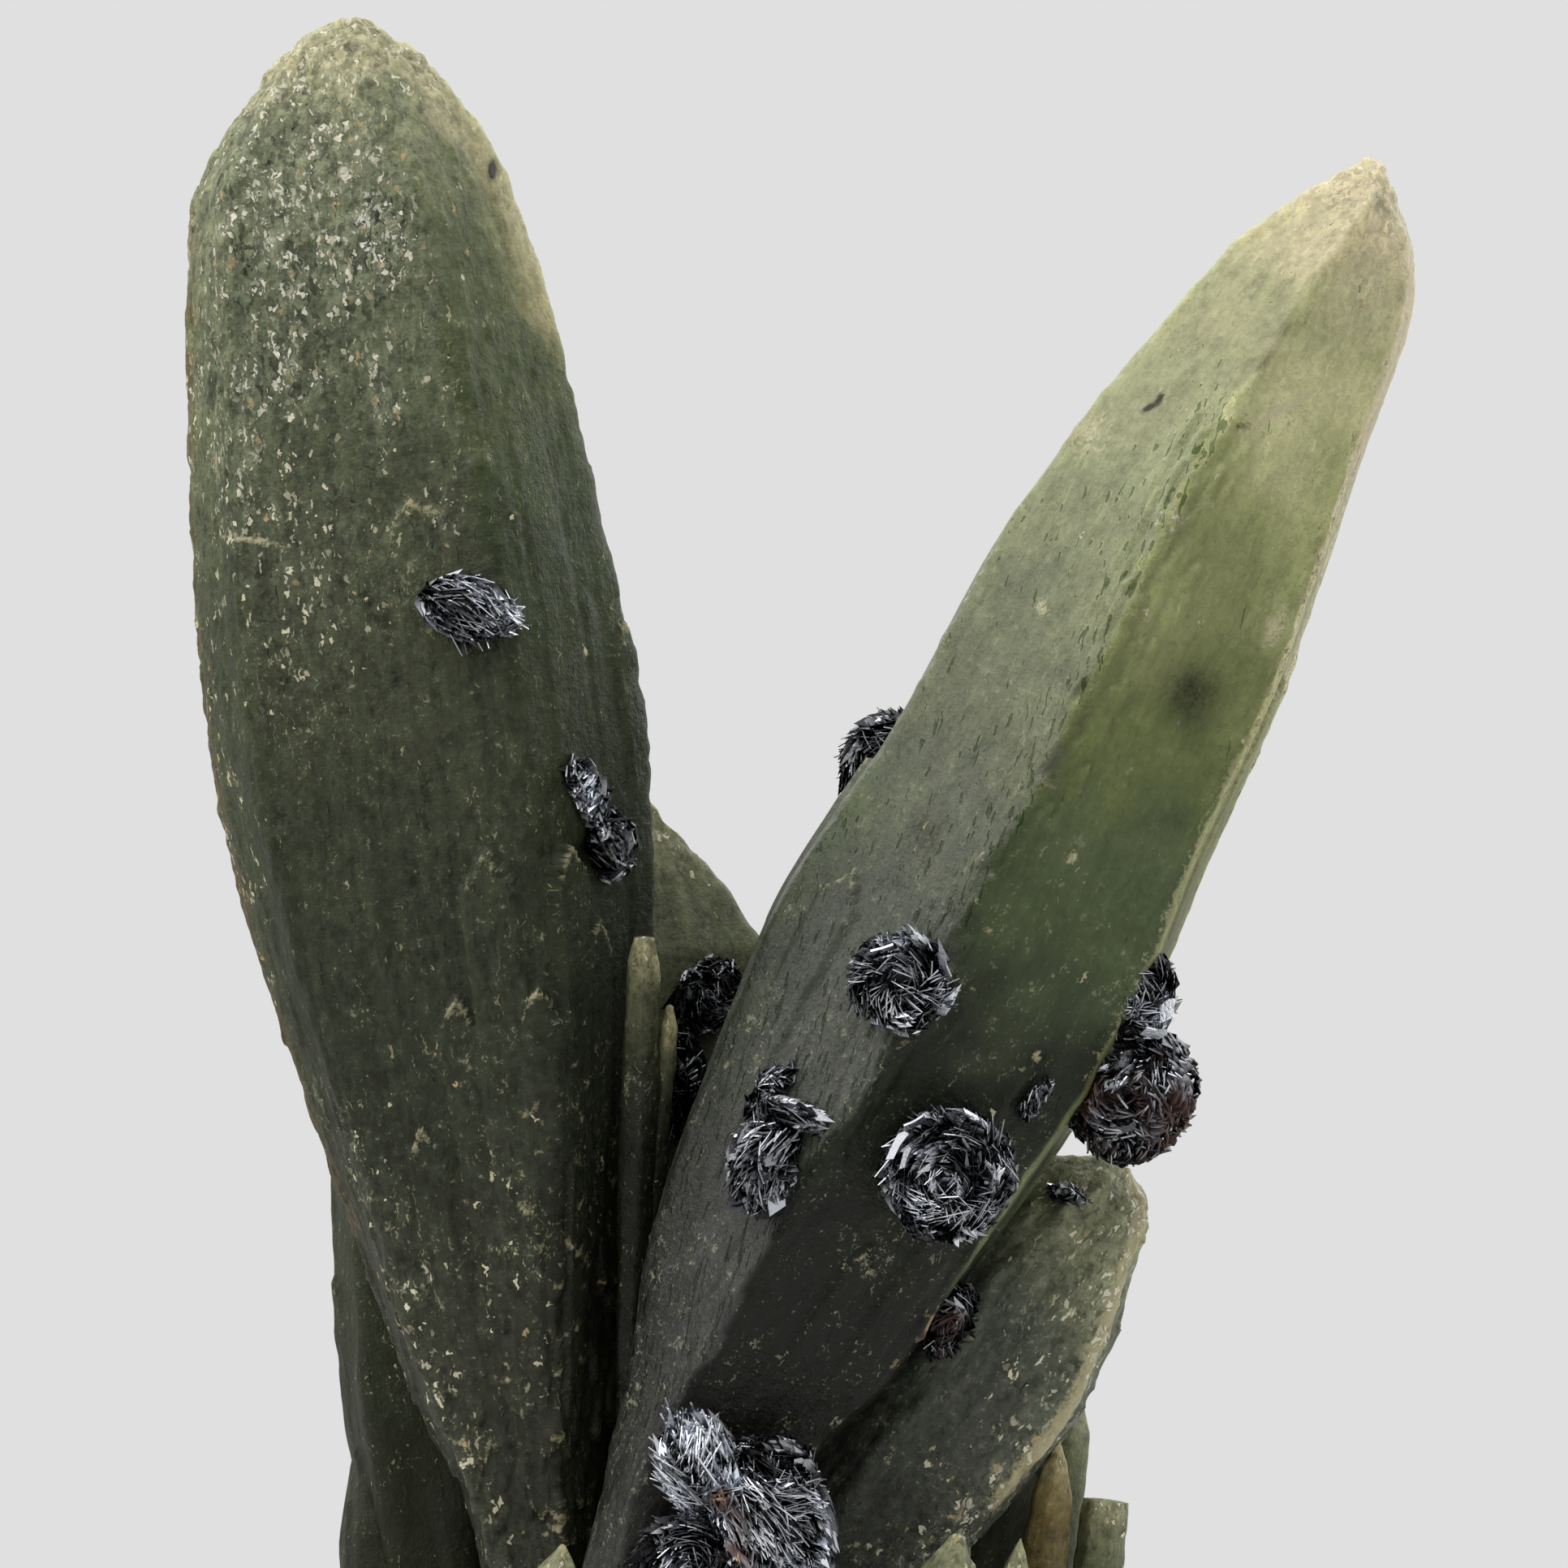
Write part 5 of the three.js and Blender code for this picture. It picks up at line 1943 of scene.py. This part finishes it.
PADDLE = TallCrystal(
    "paddle_crystal", (-2, 4, 3), (19.8, 3, 34.8), PADDLE_PRASE,
    spacing=0.25, rounding=0.4, swell=0.22, ribs=0.1, druse=0.3, druse_from=0.8, wear=0.2, seed=13,
    half_width=6.5, half_depth=4.6, section=EDGE_ON,
    outline=(
        (0, 0.5, 0.5, -0.2, 0.6), (0.2, 0.7, 0.65, -0.25, 0.75), (0.44, 0.85, 0.77, -0.3, 0.9),
        (0.68, 1, 0.93, -0.3, 1), (0.78, 0.97, 0.83, -0.28, 0.95), (0.87, 0.8, 0.66, -0.2, 0.8),
        (0.935, 0.6, 0.55, -0.1, 0.6), (0.975, 0.24, 0.38, 0, 0.4), (1, 0.05, 0.16, 0.05, 0.15),
    ),
    scales=(
        Scales(260, (0.2, 0.98), (1, 6), (0.25, 0.8), (0.08, 0.28), Toward.TIP, 0.3),
        Scales(260, (0.2, 0.95), (0.6, 2.2), (0.2, 0.45), (0.08, 0.22), Toward.ROOT, 0.6),
    ),
    patches=(Patch(CRUST, 16.4, 24, 1.6, 4, 20, 0.5),),
    # The thin-edge band on the right edge paints a glow of light through it.
    margins=(
        Margin(RIM, 1, 0.8, (0.5, 1.1), 1.1), Margin(PALE, 1, 0.7, (0.5, 1.1), 0.7),
        Margin(PALE, 1, 0.6, (0.2, 0.5), 0.3), Margin(CRUST, 1, 2.4, (0.2, 1.1), 0.6),
        Margin(THIN, 1, 2.4, (0.5, 1.1), 0.8),
    ),
)


def plain(
    name: str, root: Triple, tip: Triple, half: Pair, turn: float, point: float, finish: PraseFinish,
    spacing: float, blunt: float = 0.1, seed: int = 1,
) -> PlainCrystal:
    """A plain crystal with scales that suit its size.

    Args:
        name: The piece's name.
        root: Where its axis starts.
        tip: Where its axis ends.
        half: Half its width and half its depth.
        turn: How far it is turned about its axis.
        point: Length of its point.
        finish: Its material's recipe.
        spacing: Distance between the points of its mesh.
        blunt: Size of its end.
        seed: The start of its random draws.

    Returns:
        The crystal.
    """
    size = half[0]
    # A small crystal carries few short laths and a large one many long ones.
    scales = Scales(
        count=int(14 * size + 10),
        span=(0.25, 0.97),
        length=(1.0 + size, 3 + 2 * size),
        half=(0.1 + 0.08 * size, 0.3 + 0.15 * size),
        rise=(0.03, 0.05 + 0.03 * size),
    )
    return PlainCrystal(
        name, root, tip, finish, spacing=spacing, rounding=0.12 + 0.06 * size, swell=0.03 * size,
        ribs=0.02 + 0.01 * size, druse=0.06 + 0.03 * size, seed=seed, scales=(scales,), half=half, turn=turn,
        point=point, blunt=blunt,
    )


def plain_crystals() -> list[PlainCrystal]:
    """The crystals behind the tall ones and the small ones low on the cluster.

    Returns:
        The crystals.
    """
    behind = (
        ((-2, 7, 2), (-5.2, 10, 53.2), (7.6, 4.8), 8, 8, DARK_PRASE),
        ((-13.6, 6.5, -2), (-18.1, 9, 43), (4.8, 4.4), 20, 9, PAINTED_SHADE_PRASE),
        ((1, 5, 2), (16, 20, 61), (5.6, 5.2), 12, 12, DARK_PRASE),
        ((-4, 6, 2), (-15, 21, 47), (5, 4.6), 25, 10, DARK_PRASE),
        ((0, 7, 2), (5, 25, 37), (4.6, 4.2), 5, 9, DARK_PRASE),
        ((-2, 6, 1), (-19.5, 17, 26), (3.6, 3.3), 14, 7, DARK_PRASE),
        ((3, 5, 1), (15, 19, 29), (3.9, 3.5), 22, 7, DARK_PRASE),
    )
    low = (
        ((-15.4, 6.5, -2), (-17.6, 8.6, 31), (4.8, 3.3), 15, 16, PAINTED_SHADE_PRASE),
        ((14, 8, -2), (17.6, 8, 23.4), (1.7, 1.5), 18, 3, DARK_PRASE),
        ((8, 6, 0), (15, 8.4, 21), (3.2, 3), 10, 4, PAINTED_SHADE_PRASE),
        ((14, 3.6, -2), (16.8, 3.6, 20.3), (1.4, 1.3), 5, 3, HONEY_PRASE),
        ((7, -3, -1), (11.4, -5.4, 16.2), (2.7, 2.3), 24, 4, DARK_PRASE),
        ((12, -1.5, -1), (14.6, -3.4, 15.8), (1.3, 1.2), 12, 3, DARK_PRASE),
        ((-11, -4, 0), (-8.6, -8.2, 16), (2.1, 1.8), 8, 3, DARK_PRASE),
        ((4, 3, 1), (22, 5.8, 7), (4.4, 4), 12, 5, DARK_PRASE),
        ((-9, 0, 0), (-16.2, -6, 13.5), (2.4, 2.1), 20, 4, DARK_PRASE),
    )
    blunt = (
        ("finger_long", (-5.6, 0.4, 18), (-4.6, -2.6, 46.4), (1.05, 0.95), 10, 1.2, FINGER_PRASE, 0.2, 0.6),
        ("finger_short", (-5.2, 0.2, 20), (-3.3, -1.7, 42.9), (0.6, 0.6), 0, 1.2, FINGER_PRASE, 0.18, 0.5),
        ("broken_crystal", (17, 5, -2), (19.3, 5, 17), (1.45, 1.3), 28, 0.4, DARK_PRASE, 0.25, 0.86),
    )
    return [
        *(plain(f"back_crystal_{k}", *row, 0.42, seed=100 + k) for k, row in enumerate(behind)),
        *(plain(f"low_crystal_{k}", *row, 0.32, seed=200 + k) for k, row in enumerate(low)),
        *(plain(*row, seed=301 + k) for k, row in enumerate(blunt)),
    ]


# Lumps behind, under and between the crystals have a negative shine: painted shade.
ROSES = (
    HematiteRose("rose_on_blade", (
        Lump(
            (-13.4, -7, 63.1), (2.7, 1.6, 1.9), (1, 0, -0.25), SHEAF, (1, 0, -0.35), (1.8, 0.6, 0.07),
            shine=0.08,
        ),
    ), 21),
    HematiteRose("rose_on_blade_edge", (
        Lump((-7.5, -3.6, 53.9), (1.9, 1.1, 1.1), (0.5, 0.3, -0.9), SHEAF, (0.3, 0, -1), (1.2, 0.8, 0.1)),
        Lump((-6.4, -2.6, 51.2), (1.9, 1.3, 1.4), (0.1, 0.2, -1), SHEAF, (0.8, 0, -0.6), (1.2, 0.9, 0.12)),
    ), 22),
    HematiteRose("rose_behind_prism", (
        Lump((7.5, 2.6, 55.6), (2.9, 2.3, 2.3), (0.5, 0, 0.9), shine=-0.2),
    ), 23),
    HematiteRose("rose_on_prism_ridge", (Lump((8.4, -10.6, 44.4), (2.9, 2.2, 2.8), (1, 0, 0)),), 24, (
        Plate((10.5, -12.0, 45.2), (0.2, 0.1, -0.7), (0.22, -0.2, 0.1), 0.6),
        Plate((7.3, -12.6, 46.0), (0.7, -0.1, 0.2), (0.03, -0.2, 0.12), 0.6),
    )),
    HematiteRose("rose_on_prism_flank", (
        Lump((1.7, -8.4, 35.3), (2.8, 1.7, 2.1), (-0.4, 0, -0.9), FAN, (3.6, -8, 38.2), (1.5, 0.8, 0.07)),
        Lump((3, -8.7, 37.6), (2.5, 1.2, 1), (0.95, 0, -0.25), SHEAF, (1, 0, -0.3), (1.7, 0.7, 0.07)),
        Lump((2.1, -7.4, 39.3), (1.3, 0.9, 0.8), (0.8, 0, 0.4), SHEAF, (1, 0, 0.4), (0.9, 0.5, 0.06)),
    ), 25),
    HematiteRose("rose_on_prism_face", (Lump((10.8, -9, 34.6), (3.6, 3, 3.6), (1, 0, 0)),), 26, (
        Plate((8.2, -10.9, 36.2), (0.45, -0.2, 0.8), (0.2, -0.2, -0.15), 0.55),
        Plate((9.0, -11.3, 37.3), (0.6, 0.0, 0.3), (-0.08, -0.2, 0.16), 0.6),
        Plate((8.6, -11.6, 35.6), (0.2, -0.1, 0.6), (0.16, -0.15, -0.05), 0.5),
    )),
    HematiteRose("rose_on_prism_edge", (
        Lump((20.4, -5, 43.4), (2.8, 2.1, 2.2), (0.3, 0, 1)),
        Lump((20.3, -4, 38.4), (3.8, 3.1, 3.4), (0.5, 0, 0.9), plate=(0.9, 0.5, 0.08), rust=0.3),
    ), 27, (
        Plate((21.9, -6.6, 42.8), (0.1, 0.0, 0.6), (0.45, -0.3, 0.1), 0.85),
        Plate((21.2, -7.0, 41.7), (0.65, 0.0, -0.1), (0.1, -0.3, 0.28), 0.8),
        Plate((19.9, -7.3, 36.9), (0.4, 0.0, 0.2), (-0.1, 0.0, 0.2), 0.6),
    ), (Stain((22.6, -5.6, 37.2), 1.6, 0.35), Stain((17.8, -5.8, 38.0), 1.2, 0.35))),
    HematiteRose("rose_in_valley", (
        Lump((-1.4, 5.4, 43.2), (2.4, 2, 1.9), (0.6, 0, 0.8), shine=-0.2),
        Lump((-2.8, 4, 38.6), (3.2, 2, 1.9), (-0.2, 0, 1), shine=-0.2),
    ), 28),
    HematiteRose("rose_at_foot", (
        Lump(
            (-1.4, -7, 19.6), (3.4, 2.5, 2.4), (-0.5, 0, 0.9), FAN, (-1.2, -7, 16.5), (2.2, 0.6, 0.07),
            shine=0.35,
        ),
        Lump(
            (1.8, -6.8, 16.6), (4, 3, 3.6), (0.5, 0, -0.8), FAN, (-1.5, -7, 20), (1.6, 0.6, 0.06),
            shine=0.2, rust=0.1,
        ),
        Lump((-2.4, -7.2, 14.4), (3.2, 2.6, 3), (0, 0, 1), shine=-0.1, rust=0.2),
        Lump((2.0, -6.8, 19.4), (2.6, 2.1, 2.1), (1, 0, -0.5), plate=(1.0, 0.5, 0.05), shine=-0.1, rust=0.15),
    ), 29, (), (
        Stain((-0.75, -9.0, 18.3), 0.7, 1.0), Stain((0.34, -9.3, 15.5), 0.65, 1.0),
        Stain((0.2, -9.2, 17), 1.3, 0.4),
    )),
    HematiteRose("rose_under_prism", (
        Lump((11, -2.6, 26.8), (2.3, 1.8, 1.3), (0.5, 0, 0.85), shine=-0.2, rust=0.3),
    ), 30, (
        Plate((9.8, -4.9, 26.9), (0.5, 0.0, 1.05), (0.2, -0.05, -0.1), 0.6),
    ), (
        Stain((9.7, -4.8, 26.9), 1.1, 1.1),
    )),
    HematiteRose("rose_on_paddle_tip", (
        Lump((17.1, 0.1, 33.2), (1.2, 0.7, 0.6), (0.9, 0, -0.3), plate=(0.7, 0.4, 0.06)),
    ), 31),
    HematiteRose("rose_on_prism_small", (
        Lump((15.2, -7.1, 38.3), (1.3, 0.7, 0.7), (0.6, 0, 0.8), FAN, (14.2, -7, 37.2), (0.9, 0.5, 0.05)),
    ), 32),
    HematiteRose("rose_on_blade_back", (Lump((-17.5, 9.8, 58), (2.7, 1.8, 2.3), (0.6, 0, 0.8)),), 33),
    HematiteRose("rose_on_back_left", (Lump((-12.6, 22, 34), (2.3, 1.8, 2.1), (1, 0, 0.3)),), 34),
    HematiteRose("rose_on_back_right", (Lump((14.6, 21.4, 45.4), (2.9, 2.2, 2.6), (0.3, 0, 1)),), 35),
    HematiteRose("rose_at_back_foot", (Lump((6, 19, 16), (2.9, 2.2, 2.4), (0.8, 0, 0.5)),), 36),
)


def main() -> None:
    """Builds the cluster and its studio."""
    logging.basicConfig(level=logging.INFO, format="%(name)s %(message)s", stream=sys.stdout)
    materials: dict[str, bpy.types.Material] = {}
    for crystal in [BLADE, PRISM, PADDLE, *plain_crystals(), *Burr(DARK_PRASE).crystals()]:
        if crystal.finish.name not in materials:
            materials[crystal.finish.name] = crystal.finish.material()
        crystal.make(materials[crystal.finish.name])
    hematite = HematiteFinish().material()
    for rose in ROSES:
        rose.make(hematite)
    Studio().make()


if __name__ == "__main__":
    main()
